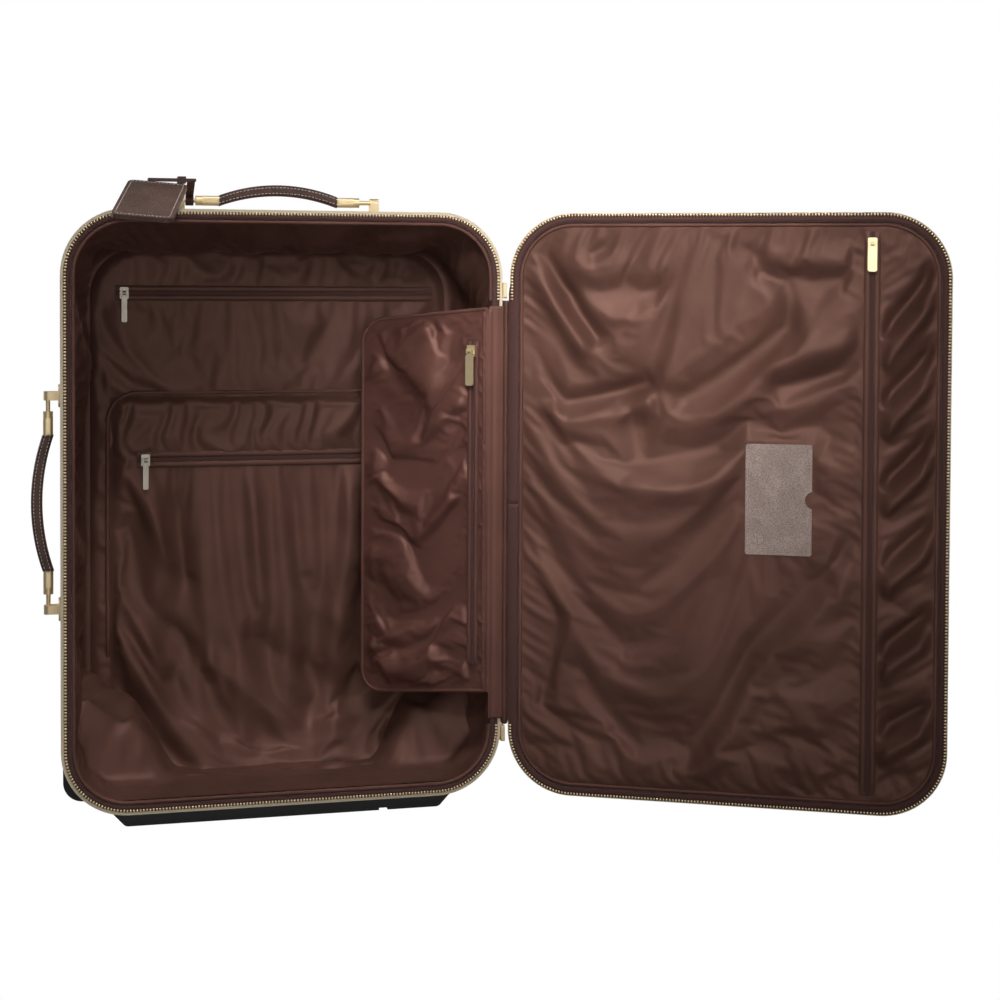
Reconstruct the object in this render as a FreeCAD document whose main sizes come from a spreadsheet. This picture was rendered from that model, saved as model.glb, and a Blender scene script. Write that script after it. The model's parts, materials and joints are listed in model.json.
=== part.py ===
import FreeCAD, Part
import math
import os
from types import SimpleNamespace
import Sketcher

# Carry-on suitcase, standing upright with its lid opened to the side like a book. Millimetres.
# X runs along the width, Y from the mouth to the back, Z up from the floor.
# The origin is the middle of the flat underside of the front foot bar.

SIZES = {
    # Case and lid shells
    "shell_width": 390.0,
    "shell_height": 528.0,
    "shell_wall": 2.6,
    "case_depth": 155.0,
    "lid_depth": 38.0,
    "corner_radius": 58.0,
    "edge_radius": 12.0,
    "ground_gap": 13.0,
    "foot_setback": 22.0,
    # Hinge between case and lid
    "hinge_gap": 3.0,
    "rim_gap": 4.0,
    "open_angle": 154.0,
    "hinge_foot": 63.0,
    "hinge_drop": 79.0,
    "gusset_cloth": 1.0,
    "gusset_flange": 14.0,
    "bead_radius": 1.2,
    # Mouth trim
    "rim_width": 12.0,
    "tape_cloth": 0.9,
    "teeth_width": 3.0,
    "teeth_height": 0.9,
    "piping_radius": 2.2,
    "piping_sink": 1.0,
    "piping_butt": 0.4,
    # Gaps between pieces
    "soft_gap": 0.3,
    "seat_gap": 0.1,
    "pin_fit": 0.06,
    "slide_fit": 0.3,
    "cut_margin": 2.0,
    # Lining of the case
    "lining_cloth": 2.0,
    "lining_side_taper": 11.0,
    "lining_top_drop": 24.0,
    "lining_floor_rise": 3.0,
    "lining_back_radius": 36.0,
    "board_thickness": 2.0,
    "board_inset": 12.0,
    # Pockets on the back panel
    "upper_zip_drop": 74.0,
    "upper_zip_left_inset": 50.0,
    "upper_zip_right_inset": 40.0,
    "zip_cloth": 1.2,
    "zip_width": 14.0,
    "zip_ridge": 3.0,
    "zip_ridge_height": 0.8,
    "pocket_side_inset": 45.0,
    "pocket_rise": 67.0,
    "pocket_drop": 169.0,
    "pocket_depth": 8.0,
    "pocket_radius": 25.0,
    "pocket_crown": 3.0,
    "pocket_piping": 3.2,
    "pocket_piping_round": 1.2,
    "lower_zip_drop": 60.0,
    "lower_zip_inset": 24.0,
    # Zip sliders and pulls
    "slider_width": 8.0,
    "slider_height": 11.0,
    "slider_depth": 3.4,
    "slider_round": 1.2,
    "ear_width": 1.5,
    "ear_height": 4.4,
    "bail_radius": 0.9,
    "bail_width": 3.4,
    "barrel_radius": 1.9,
    "pull_plate": 1.4,
    "case_pull_length": 27.0,
    "case_pull_width": 5.0,
    "lid_pull_length": 24.0,
    "lid_pull_width": 8.0,
    "pouch_pull_length": 31.0,
    "pouch_pull_width": 8.0,
    "main_slider_height": 14.0,
    "main_slider_width": 11.0,
    "main_slider_over": 0.9,
    # Lid lining
    "lid_zip_inset": 68.0,
    "panel_cloth": 4.0,
    "panel_sink": 0.5,
    "panel_crown": 1.5,
    "main_fold_across": 105.0,
    "main_fold_length": 160.0,
    "main_fold_width": 140.0,
    "main_fold_rise": 7.5,
    "main_fold_angle": 17.0,
    "hem_fold_across": 150.0,
    "hem_fold_inset": 18.0,
    "hem_fold_length": 220.0,
    "hem_fold_width": 28.0,
    "hem_fold_rise": 3.0,
    "side_fold_inset": 73.0,
    "side_fold_drop": 137.0,
    "side_fold_length": 140.0,
    "side_fold_width": 30.0,
    "side_fold_rise": 3.0,
    "side_fold_angle": 50.0,
    "card_left": 217.0,
    "card_drop": 38.0,
    "card_width": 58.0,
    "card_height": 98.0,
    "card_leather": 1.8,
    "card_radius": 2.0,
    "thumb_notch_radius": 8.0,
    "thumb_notch_depth": 6.0,
    # Hinged pouch
    "pouch_angle": 39.0,
    "pouch_width": 132.0,
    "pouch_rise": 28.0,
    "pouch_drop": 8.0,
    "pouch_droop": 12.0,
    "pouch_depth": 7.0,
    "pouch_radius": 20.0,
    "pouch_crown": 2.6,
    "pouch_leaf": 9.0,
    "pouch_leaf_cloth": 0.8,
    "pouch_bead_radius": 0.6,
    "pouch_pivot_inset": 11.5,
    "pouch_zip_across": 15.0,
    "pouch_zip_width": 10.0,
    "pouch_zip_margin": 27.0,
    # Base, foot bar and wheels
    "base_side_gap": 3.0,
    "base_front": 14.0,
    "base_thickness": 6.0,
    "base_rib_height": 3.0,
    "base_rib_width": 4.0,
    "base_rib_pitch": 44.0,
    "foot_inset": 43.0,
    "foot_slant": 12.0,
    "foot_depth": 22.0,
    "foot_round": 6.0,
    "foot_notch_place": 85.0,
    "foot_notch_width": 8.0,
    "foot_notch_height": 2.0,
    "housing_inset": 2.0,
    "housing_width": 56.0,
    "housing_bottom": 4.0,
    "housing_top": 70.0,
    "housing_length": 75.0,
    "housing_proud": 4.0,
    "housing_round": 18.0,
    "housing_edge": 5.0,
    "wheel_radius": 26.0,
    "wheel_width": 22.0,
    "wheel_round": 4.0,
    "wheel_clearance": 3.0,
    "wheel_side_gap": 2.0,
    "axle_back_inset": 24.0,
    "axle_radius": 3.0,
    "axle_grip": 8.0,
    "hub_radius": 16.0,
    "hub_boss_radius": 6.5,
    "hub_dish": 3.0,
    "hub_hole_radius": 2.4,
    "hub_hole_circle": 9.75,
    "screw_head_radius": 3.6,
    "screw_head_height": 1.4,
    "screw_inset": 10.0,
    # Trolley
    "tube_spread": 70.0,
    "tube_back_gap": 12.0,
    "tube_width": 20.0,
    "tube_depth": 13.0,
    "tube_wall": 1.0,
    "tube_round": 2.5,
    "tube_step": 3.0,
    "bracket_wall": 3.0,
    "bracket_height": 22.0,
    "cup_depth": 24.0,
    "cup_wall": 2.4,
    "cup_half_length": 92.0,
    "cup_half_width": 13.0,
    "flange_width": 3.0,
    "flange_height": 2.5,
    "grip_height": 20.0,
    "grip_proud": 3.0,
    "grip_socket": 9.0,
    "grip_round": 5.0,
    "button_length": 28.0,
    "button_width": 8.0,
    "button_proud": 2.0,
    "button_height": 6.0,
    "button_well": 13.0,
    "spring_radius": 3.2,
    "spring_wire": 1.0,
    # Carry handles
    "handle_place": 50.0,
    "top_reach": 85.0,
    "side_reach": 92.0,
    "side_handle_rise": 2.0,
    "lug_plate": 1.6,
    "lug_plate_length": 20.0,
    "lug_plate_width": 18.0,
    "lug_plate_round": 5.0,
    "lug_post_length": 8.0,
    "lug_post_width": 10.0,
    "lug_post_over": 4.0,
    "lug_ear_round": 4.6,
    "lug_pin_height": 10.5,
    "lug_pin_radius": 2.0,
    "lug_pin_length": 20.0,
    "lug_head_radius": 3.4,
    "lug_head_length": 2.0,
    "eye_radius": 4.4,
    "eye_width": 6.0,
    "eye_place": 13.0,
    "neck_length": 9.0,
    "neck_width": 10.0,
    "neck_height": 8.8,
    "neck_round": 3.0,
    "grip_leather_width": 13.0,
    "grip_leather_height": 10.0,
    "grip_leather_round": 3.6,
    "grip_arch": 10.0,
    # Luggage tag
    "tag_length": 88.0,
    "tag_width": 52.0,
    "tag_leather": 4.0,
    "tag_radius": 6.0,
    "tag_yaw_angle": 12.0,
    "tag_tilt_angle": 23.0,
    "tag_forward": 34.0,
    "tag_rise": 12.6,
    "tag_across": 110.0,
    "strap_width": 7.0,
    "strap_leather": 2.4,
    "strap_band_width": 12.0,
    "strap_band_end": 119.0,
    "strap_lift": 15.4,
    "keeper_length": 7.0,
    "keeper_leather": 1.6,
}


class Size:
    """A number together with the sheet expression that gives it."""

    def __init__(self, number, text):
        self.number = number
        self.text = text

    def joined(self, sign, other, number):
        return Size(number, "(%s %s %s)" % (self.text, sign, other.text))

    def __add__(self, other):
        other = as_size(other)
        return self.joined("+", other, self.number + other.number)

    def __sub__(self, other):
        other = as_size(other)
        return self.joined("-", other, self.number - other.number)

    def __mul__(self, other):
        other = as_size(other)
        return self.joined("*", other, self.number * other.number)

    def __truediv__(self, other):
        other = as_size(other)
        return self.joined("/", other, self.number / other.number)

    def __rsub__(self, other):
        return as_size(other) - self

    def __neg__(self):
        return as_size(0) - self

    __radd__ = __add__
    __rmul__ = __mul__


def as_size(value):
    """Wraps a plain number, so that it can stand beside sizes of the sheet."""
    if isinstance(value, Size):
        return value
    return Size(float(value), repr(float(value)))


doc = FreeCAD.newDocument("suitcase")
sheet = doc.addObject("Spreadsheet::Sheet", "dims")
for row, (name, number) in enumerate(SIZES.items(), start=1):
    sheet.set("A%d" % row, name)
    sheet.set("B%d" % row, str(number))
    sheet.setAlias("B%d" % row, name)
doc.recompute()
d = SimpleNamespace(**{name: Size(number, "dims." + name) for name, number in SIZES.items()})
nodes = []

# Main planes of the case, the hinge axis and the trolley
half = d.shell_width / 2
floor = d.ground_gap
roof = d.ground_gap + d.shell_height
middle = d.ground_gap + d.shell_height / 2
rim = -d.foot_setback
back = d.case_depth - d.foot_setback
hinge_x = half + d.hinge_gap
hinge_y = rim - d.rim_gap / 2
tube_y = back - d.shell_wall - d.tube_back_gap - d.tube_depth / 2
board_front = tube_y - d.tube_depth / 2 - d.board_thickness
lining_back = board_front - d.soft_gap
panel_face = lining_back - d.lining_cloth
hinge_low = floor + d.hinge_foot
hinge_high = roof - d.hinge_drop
zero = as_size(0)


# Document objects
def bind(item, expressions):
    """Ties properties of a document object to sizes of the sheet."""
    for name, size in expressions.items():
        item.setExpression(name, as_size(size).text)


def new_body(label):
    """Starts a piece, which may hold several equal solids."""
    body = doc.addObject("PartDesign::Body", label)
    body.Label = label
    body.AllowCompound = True
    nodes.append(body)
    return body


def place(body, x, y, z, axis=(0, 0, 1), angle=0):
    """Puts a piece that is drawn about its own pivot where it belongs."""
    body.Placement = FreeCAD.Placement(
        FreeCAD.Vector(as_size(x).number, as_size(y).number, as_size(z).number),
        FreeCAD.Rotation(FreeCAD.Vector(*axis), as_size(angle).number),
    )
    bind(body, {"Placement.Base.x": x, "Placement.Base.y": y, "Placement.Base.z": z})
    if as_size(angle).number:
        bind(body, {"Placement.Rotation.Angle": angle})


PLANES = {"x": ("YZ_Plane", 1), "y": ("XZ_Plane", -1), "z": ("XY_Plane", 1)}


def new_sketch(body, name, axis, height, turn=None):
    """Opens a sketch square to an axis of the piece, at a height along it."""
    role, sign = PLANES[axis]
    plane = [item for item in body.Origin.OriginFeatures if item.Role == role][0]
    sketch = body.newObject("Sketcher::SketchObject", name)
    sketch.AttachmentSupport = (plane, [""])
    sketch.MapMode = "FlatFace"
    bind(sketch, {"AttachmentOffset.Base.z": as_size(height) * sign})
    if turn:
        sketch.AttachmentOffset = FreeCAD.Placement(
            FreeCAD.Vector(0, 0, as_size(height).number * sign),
            FreeCAD.Rotation(FreeCAD.Vector(0, 0, 1), turn.number),
        )
        bind(sketch, {"AttachmentOffset.Rotation.Angle": turn})
    return sketch


def extrude(kind, body, name, axis, start, end, *outlines, turn=None):
    """Pads or pockets outlines from one height along an axis to a higher one."""
    sketch = new_sketch(body, name + "_sketch", axis, start, turn)
    for outline in outlines:
        outline(sketch)
    feature = body.newObject("PartDesign::" + kind, name)
    feature.Profile = sketch
    bind(feature, {"Length": as_size(end) - start})
    feature.Reversed = (PLANES[axis][1] < 0) == (kind == "Pad")
    return feature


def pad(body, name, axis, start, end, *outlines, turn=None):
    return extrude("Pad", body, name, axis, start, end, *outlines, turn=turn)


def pocket(body, name, axis, start, end, *outlines):
    return extrude("Pocket", body, name, axis, start, end, *outlines)


def round_edges(body, name, radius, chosen):
    """Fillets the edges of a piece that a test picks by their place."""
    doc.recompute()
    names = ["Edge%d" % i for i, edge in enumerate(body.Tip.Shape.Edges, start=1) if chosen(edge.BoundBox)]
    fillet = body.newObject("PartDesign::Fillet", name)
    fillet.Base = (body.Tip, names) if body.Tip.Name != fillet.Name else (fillet.BaseFeature, names)
    bind(fillet, {"Radius": radius})


NEAR = 0.01


def flat_at(axis, size):
    """Picks edges that lie in one plane square to an axis."""
    low, high = axis.upper() + "Min", axis.upper() + "Max"

    def chosen(box):
        return abs(getattr(box, low) - size.number) < NEAR and abs(getattr(box, high) - size.number) < NEAR

    return chosen


def through_at(size):
    """Picks edges that run along Y at one place along X."""
    return lambda box: abs(box.XMin - size.number) < NEAR and box.XLength < NEAR and box.ZLength < NEAR


def both(first, second):
    return lambda box: first(box) and second(box)


def either(first, second):
    return lambda box: first(box) or second(box)


# Sketch outlines
def tie(sketch, kind, item, point, size):
    """Ties one coordinate of a sketch point to a size of the sheet."""
    index = sketch.addConstraint(Sketcher.Constraint(kind, -1, 1, item, point, size.number))
    sketch.setExpression("Constraints[%d]" % index, size.text)


def tie_radius(sketch, item, size):
    index = sketch.addConstraint(Sketcher.Constraint("Radius", item, size.number))
    sketch.setExpression("Constraints[%d]" % index, size.text)


def tie_point(sketch, item, point, place_xy):
    tie(sketch, "DistanceX", item, point, place_xy[0])
    tie(sketch, "DistanceY", item, point, place_xy[1])


def spot(point):
    return FreeCAD.Vector(point[0].number, point[1].number, 0)


def polygon(*points):
    """A closed outline of straight lines through the given points."""
    corners = [(as_size(x), as_size(y)) for x, y in points]

    def draw(sketch):
        count = len(corners)
        first = sketch.GeometryCount
        for i in range(count):
            sketch.addGeometry(Part.LineSegment(spot(corners[i]), spot(corners[(i + 1) % count])))
        for i in range(count):
            sketch.addConstraint(Sketcher.Constraint("Coincident", first + i, 2, first + (i + 1) % count, 1))
            tie_point(sketch, first + i, 1, corners[i])

    return draw


def box(left, low, right, high):
    left, right = sorted((as_size(left), as_size(right)), key=lambda size: size.number)
    low, high = sorted((as_size(low), as_size(high)), key=lambda size: size.number)
    return polygon((left, low), (right, low), (right, high), (left, high))


def disc(x, y, radius):
    centre = (as_size(x), as_size(y))
    radius = as_size(radius)

    def draw(sketch):
        item = sketch.addGeometry(Part.Circle(spot(centre), FreeCAD.Vector(0, 0, 1), radius.number))
        tie_point(sketch, item, 3, centre)
        tie_radius(sketch, item, radius)

    return draw


def corner_arc(centre, radius, quarter):
    """A quarter circle that starts at the given quarter turn."""
    circle = Part.Circle(spot(centre), FreeCAD.Vector(0, 0, 1), radius.number)
    return Part.ArcOfCircle(circle, quarter * math.pi / 2, (quarter + 1) * math.pi / 2)


def rounded_path(sketch, left, low, right, high, radius, start, end):
    """Draws a round-cornered loop from the right side upwards, closed or open between start and end."""
    inner_left, inner_right = left + radius, right - radius
    inner_low, inner_high = low + radius, high - radius
    runs = [
        ((right, start), (right, inner_high)),
        ((inner_right, high), (inner_left, high)),
        ((left, inner_high), (left, inner_low)),
        ((inner_left, low), (inner_right, low)),
    ]
    if end is not None:
        runs.append(((right, inner_low), (right, end)))
    centres = [
        (inner_right, inner_high), (inner_left, inner_high), (inner_left, inner_low), (inner_right, inner_low)
    ]
    items = []
    for i, (one, two) in enumerate(runs):
        items.append(sketch.addGeometry(Part.LineSegment(spot(one), spot(two))))
        if i < len(centres):
            items.append(sketch.addGeometry(corner_arc(centres[i], radius, i)))
    links = list(zip(items, items[1:]))
    if end is None:
        links.append((items[-1], items[0]))
    for one, two in links:
        sketch.addConstraint(Sketcher.Constraint("Tangent", one, 2, two, 1))
    lines, arcs = items[0::2], items[1::2]
    for i, line in enumerate(lines):
        sketch.addConstraint(Sketcher.Constraint("Horizontal" if i % 2 else "Vertical", line))
    for line, kind, size in zip(lines, ("DistanceX", "DistanceY") * 2, (right, high, left, low)):
        tie(sketch, kind, line, 1, size)
    for arc in arcs[1:]:
        sketch.addConstraint(Sketcher.Constraint("Equal", arcs[0], arc))
    tie_radius(sketch, arcs[0], radius)
    if end is not None:
        tie(sketch, "DistanceY", lines[0], 1, start)
        tie(sketch, "DistanceY", lines[-1], 2, end)


def rounded_box(left, low, right, high, radius):
    left, low, right, high, radius = [as_size(size) for size in (left, low, right, high, radius)]
    return lambda sketch: rounded_path(sketch, left, low, right, high, radius, low + radius, None)


def arch(reach, low, rise, height):
    """A bowed bar: two equal arcs over the same span, joined at the ends."""
    radius = (reach * reach + rise * rise) / (rise * 2)

    def draw(sketch):
        arcs = []
        for level in (low, low + height):
            ends = [(reach, level), (-reach, level)]
            crown = (zero, level + rise)
            item = sketch.addGeometry(Part.Arc(spot(ends[0]), spot(crown), spot(ends[1])))
            for point, end in zip((1, 2), ends):
                tie_point(sketch, item, point, end)
            tie_radius(sketch, item, radius)
            arcs.append(item)
        for point, side in ((1, reach), (2, -reach)):
            item = sketch.addGeometry(Part.LineSegment(spot((side, low)), spot((side, low + height))))
            sketch.addConstraint(Sketcher.Constraint("Coincident", item, 1, arcs[0], point))
            sketch.addConstraint(Sketcher.Constraint("Coincident", item, 2, arcs[1], point))

    return draw


# Shells of the case and the lid
def shell(label, left, right, front, depth):
    """A wall bent into an open tray with round corners and a round far edge."""
    body = new_body(label)
    far = front + depth
    wall = d.shell_wall
    pad(body, "block", "y", front, far, rounded_box(left, floor, right, roof, d.corner_radius))
    inner = rounded_box(left + wall, floor + wall, right - wall, roof - wall, d.corner_radius - wall)
    pocket(body, "hollow", "y", front, far - wall, inner)
    round_edges(body, "inner_edge", d.edge_radius - wall, flat_at("y", far - wall))
    round_edges(body, "far_edge", d.edge_radius, flat_at("y", far))
    return body


def rim_ring(label, left, right, front, rear, width, cut_side):
    """A flat ring round the mouth, left open where the hinge gusset runs."""
    body = new_body(label)
    outer = rounded_box(left, floor, right, roof, d.corner_radius)
    inner = rounded_box(left + width, floor + width, right - width, roof - width, d.corner_radius - width)
    pad(body, "ring", "y", front, rear, outer, inner)
    reach = width + d.cut_margin
    side = right if cut_side > 0 else left
    stretch = box(side - reach * cut_side, hinge_low, side + reach * cut_side, hinge_high)
    pocket(body, "hinge_stretch", "y", front, rear, stretch)
    return body


def rim_piping(label, left, right, level, start, end):
    """A round bead sewn along the inner edge of the mouth tape."""
    body = new_body(label)
    inset = d.rim_width + d.piping_radius + d.seat_gap
    path = new_sketch(body, "path", "y", level)
    radius = d.corner_radius - inset
    rounded_path(path, left + inset, floor + inset, right - inset, roof - inset, radius, start, end)
    profile = new_sketch(body, "section", "z", start)
    disc(right - inset, level, d.piping_radius)(profile)
    doc.recompute()
    pipe = body.newObject("PartDesign::AdditivePipe", "bead")
    pipe.Profile = profile
    pipe.Spine = (path, ["Edge%d" % i for i in range(1, len(path.Shape.Edges) + 1)])
    return body


def case_shells():
    body = shell("case_shell", -half, half, rim, d.case_depth)
    corner_in = half - d.housing_inset - d.housing_width - d.soft_gap
    corner_front = back + d.housing_proud - d.housing_length - d.soft_gap
    corner_out = half + d.cut_margin
    corner_rear = back + d.cut_margin
    corners = [box(side * corner_in, corner_front, side * corner_out, corner_rear) for side in (-1, 1)]
    pocket(body, "wheel_corners", "z", floor - d.cut_margin, d.housing_top + d.soft_gap, *corners)
    length = d.cup_half_length + d.soft_gap
    width = d.cup_half_width + d.soft_gap
    mouth = box(-length, tube_y - width, length, tube_y + width)
    pocket(body, "bezel_mouth", "z", roof - d.shell_wall * 2, roof + d.cut_margin, mouth)
    rim_ring("case_zip_tape", -half, half, rim - d.tape_cloth, rim, d.rim_width, 1)
    teeth_back = rim - d.tape_cloth
    rim_ring("case_zip_teeth", -half, half, teeth_back - d.teeth_height, teeth_back, d.teeth_width, 1)
    rim_piping("case_piping", -half, half, rim + d.piping_sink, hinge_high, hinge_low)


def case_lining():
    """A cloth tray that narrows towards the back panel and steps over the wheel housings."""
    body = new_body("case_lining")
    front = rim + d.piping_sink + d.piping_radius + d.soft_gap
    cloth = d.lining_cloth
    radius = d.corner_radius - d.rim_width

    def section(name, level, grow, taper):
        sketch = new_sketch(body, name, "y", level)
        inset = d.rim_width - grow + d.lining_side_taper * taper
        low = floor + d.rim_width - grow + d.lining_floor_rise * taper
        high = roof - d.rim_width + grow - d.lining_top_drop * taper
        corner = d.lining_back_radius + grow if taper else radius + grow
        rounded_box(-half + inset, low, half - inset, high, corner)(sketch)
        return sketch

    def loft(kind, name, sections):
        feature = body.newObject("PartDesign::" + kind, name)
        feature.Profile = sections[0]
        feature.Sections = [sections[1]]
        feature.Ruled = True

    mouth = section("mouth", front, cloth, 0)
    loft("AdditiveLoft", "tray", [mouth, section("rear", lining_back, cloth, 1)])
    inner_mouth = section("inner_mouth", front, 0, 0)
    loft("SubtractiveLoft", "hollow", [inner_mouth, section("inner_rear", panel_face, 0, 1)])
    gap = d.soft_gap
    inner = half - d.housing_inset - d.housing_width - gap
    front_wall = back + d.housing_proud - d.housing_length - gap
    outer = half - d.rim_width - d.lining_side_taper
    low = floor + d.rim_width
    top = d.housing_top + gap
    bevel = d.lining_back_radius / 2
    covers = []
    for side in (-1, 1):
        covers.append(polygon(
            (side * (inner - cloth), low), (side * (outer - bevel), low), (side * outer, low + bevel),
            (side * outer, top + cloth), (side * (inner - cloth), top + cloth),
        ))
    pad(body, "wheel_box_covers", "y", front_wall - cloth, lining_back, *covers)
    wells = [box(side * inner, zero, side * (half + d.cut_margin), top) for side in (-1, 1)]
    pocket(body, "wheel_box_wells", "y", front_wall, lining_back + d.cut_margin, *wells)
    board = new_body("back_board")
    board_low = floor + d.shell_wall + d.bracket_height + d.bracket_wall
    inset = d.rim_width + d.lining_side_taper + d.board_inset
    panel = rounded_box(-half + inset, board_low, half - inset, roof - d.cup_depth - inset, d.board_inset)
    pad(board, "sheet", "y", board_front, board_front + d.board_thickness, panel)
    corner_in = half - d.housing_inset - d.housing_width - gap
    corners = [box(side * corner_in, zero, side * half, top) for side in (-1, 1)]
    pocket(board, "wheel_corners", "y", board_front, board_front + d.board_thickness, *corners)


# Zips, sliders and pulls
def zip_strip(label, face, left, low, right, high, upright):
    """Zip tape with its raised row of teeth, lying in front of a face."""
    body = new_body(label)
    rear = face - d.soft_gap
    front = rear - d.zip_cloth
    pad(body, "tape", "y", front, rear, box(left, low, right, high))
    across = (left + right) / 2 if upright else (low + high) / 2
    ridge = d.zip_ridge / 2
    row = box(across - ridge, low, across + ridge, high)
    if not upright:
        row = box(left, across - ridge, right, across + ridge)
    pad(body, "teeth", "y", front - d.zip_ridge_height, front, row)
    return front - d.zip_ridge_height


def slider_and_pull(prefix, face, x, z, length, width):
    """A zip slider with a bail across its front, and the pull plate that hangs from the bail."""
    body = new_body(prefix + "_slider")
    rear = face - d.soft_gap
    front = rear - d.slider_depth
    wide = d.slider_width / 2
    tall = d.slider_height / 2
    outline = rounded_box(x - wide, z - tall, x + wide, z + tall, d.slider_round)
    pad(body, "plate", "y", front, rear, outline)
    bail_y = front - d.soft_gap - d.barrel_radius
    ear_half = d.ear_height / 2
    inner = d.bail_width / 2
    ears = []
    for side in (-1, 1):
        ears.append(box(x + inner * side, z - ear_half, x + (inner + d.ear_width) * side, z + ear_half))
    pad(body, "ears", "y", bail_y - d.bail_radius - d.seat_gap * 4, front, *ears)
    pad(body, "bail", "x", x - inner, x + inner, disc(bail_y, z, d.bail_radius))
    pull = new_body(prefix + "_pull")
    barrel_half = inner - d.soft_gap
    bore = d.bail_radius + d.pin_fit
    pad(pull, "barrel", "x", x - barrel_half, x + barrel_half, disc(bail_y, z, d.barrel_radius))
    neck_low = z - d.ear_height / 2 - d.soft_gap * 2
    plate_rear = bail_y + d.pull_plate / 2
    plate_front = bail_y - d.pull_plate / 2
    neck = box(x - barrel_half, neck_low - d.seat_gap, x + barrel_half, z)
    pad(pull, "neck", "y", plate_front, plate_rear, neck)
    plate = rounded_box(x - width / 2, z - length, x + width / 2, neck_low, width / 4)
    pad(pull, "plate", "y", plate_front, plate_rear, plate)
    pocket(pull, "bore", "x", x - inner, x + inner, disc(bail_y, z, bore))
    return body, pull


def case_pockets():
    pocket_body = new_body("lower_pocket")
    rear = panel_face - d.soft_gap
    front = rear - d.pocket_depth
    wide = half - d.pocket_side_inset
    low = floor + d.pocket_rise
    high = roof - d.pocket_drop
    pad(pocket_body, "pad", "y", front, rear, rounded_box(-wide, low, wide, high, d.pocket_radius))
    round_edges(pocket_body, "crown", d.pocket_crown, flat_at("y", front))
    piping = new_body("lower_pocket_piping")
    thick = d.pocket_piping
    sides = []
    for grow in (d.soft_gap, d.soft_gap + thick):
        sides.append(rounded_box(-wide - grow, low - grow, wide + grow, high + grow, d.pocket_radius + grow))
    pad(piping, "cord", "y", rear - thick, rear, *sides)
    round_edges(piping, "round", d.pocket_piping_round, flat_at("y", rear - thick))
    zip_half = d.zip_width / 2
    z = roof - d.upper_zip_drop
    left = -half + d.upper_zip_left_inset
    right = half - d.upper_zip_right_inset
    upper = zip_strip("upper_pocket_zip", panel_face, left, z - zip_half, right, z + zip_half, False)
    slider_x = left + d.slider_width
    slider_and_pull("upper_pocket", upper, slider_x, z, d.case_pull_length, d.case_pull_width)
    z = high - d.lower_zip_drop
    reach = wide - d.lower_zip_inset
    lower = zip_strip("lower_pocket_zip", front, -reach, z - zip_half, reach, z + zip_half, False)
    slider_and_pull("lower_pocket", lower, -reach + d.slider_width, z, d.case_pull_length, d.case_pull_width)


# Hinge gusset
def gussets():
    """Cloth that joins the halves: a tab for the pouch, a flange on the wall and a bead on the axis."""
    cloth = d.gusset_cloth
    body = new_body("hinge_gusset")
    near = hinge_y + d.seat_gap
    outside = half + d.seat_gap
    tab_end = half - d.pouch_pivot_inset + d.pouch_bead_radius + d.soft_gap
    strip = polygon(
        (tab_end, near), (hinge_x, near), (hinge_x, near + cloth), (outside + cloth, near + cloth),
        (outside + cloth, rim + d.gusset_flange), (outside, rim + d.gusset_flange), (outside, near + cloth),
        (tab_end, near + cloth),
    )
    pad(body, "cloth", "z", hinge_low, hinge_high, strip)
    pad(body, "bead", "z", hinge_low, hinge_high, disc(hinge_x, hinge_y, d.bead_radius))
    leaf = new_body("lid_gusset")
    edge = d.hinge_gap - d.seat_gap
    start = d.bead_radius + d.soft_gap
    level = d.seat_gap
    flange = d.rim_gap / 2 + d.gusset_flange
    leaf_strip = polygon(
        (start, level), (edge, level), (edge, flange), (edge - cloth, flange), (edge - cloth, level + cloth),
        (start, level + cloth),
    )
    pad(leaf, "cloth", "z", hinge_low, hinge_high, leaf_strip)
    place_on_lid(leaf)


# Lid, drawn flat open about the hinge axis
def place_on_lid(body):
    place(body, hinge_x, hinge_y, 0, (0, 0, 1), d.open_angle - 180)


def fold(body, name, x, z, face, length, width, rise, turn):
    """A swell in a sewn panel: domed on the front and hollow behind by the cloth's own thickness."""
    plane = [item for item in body.Origin.OriginFeatures if item.Role == PLANES["y"][0]][0]
    sunk = d.panel_cloth / 2
    for kind, level in (("Additive", face + sunk), ("Subtractive", face + sunk + d.panel_cloth)):
        feature = body.newObject("PartDesign::%sEllipsoid" % kind, "%s_%s" % (name, kind.lower()))
        feature.AttachmentSupport = (plane, [""])
        feature.MapMode = "FlatFace"
        feature.AttachmentOffset = FreeCAD.Placement(
            FreeCAD.Vector(x.number, z.number, -level.number),
            FreeCAD.Rotation(FreeCAD.Vector(0, 0, 1), turn.number),
        )
        bind(feature, {
            "AttachmentOffset.Base.x": x, "AttachmentOffset.Base.y": z, "AttachmentOffset.Base.z": -level,
            "Radius1": rise + sunk, "Radius2": length / 2, "Radius3": width / 2,
        })
        if turn.number:
            bind(feature, {"AttachmentOffset.Rotation.Angle": turn})


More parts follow.
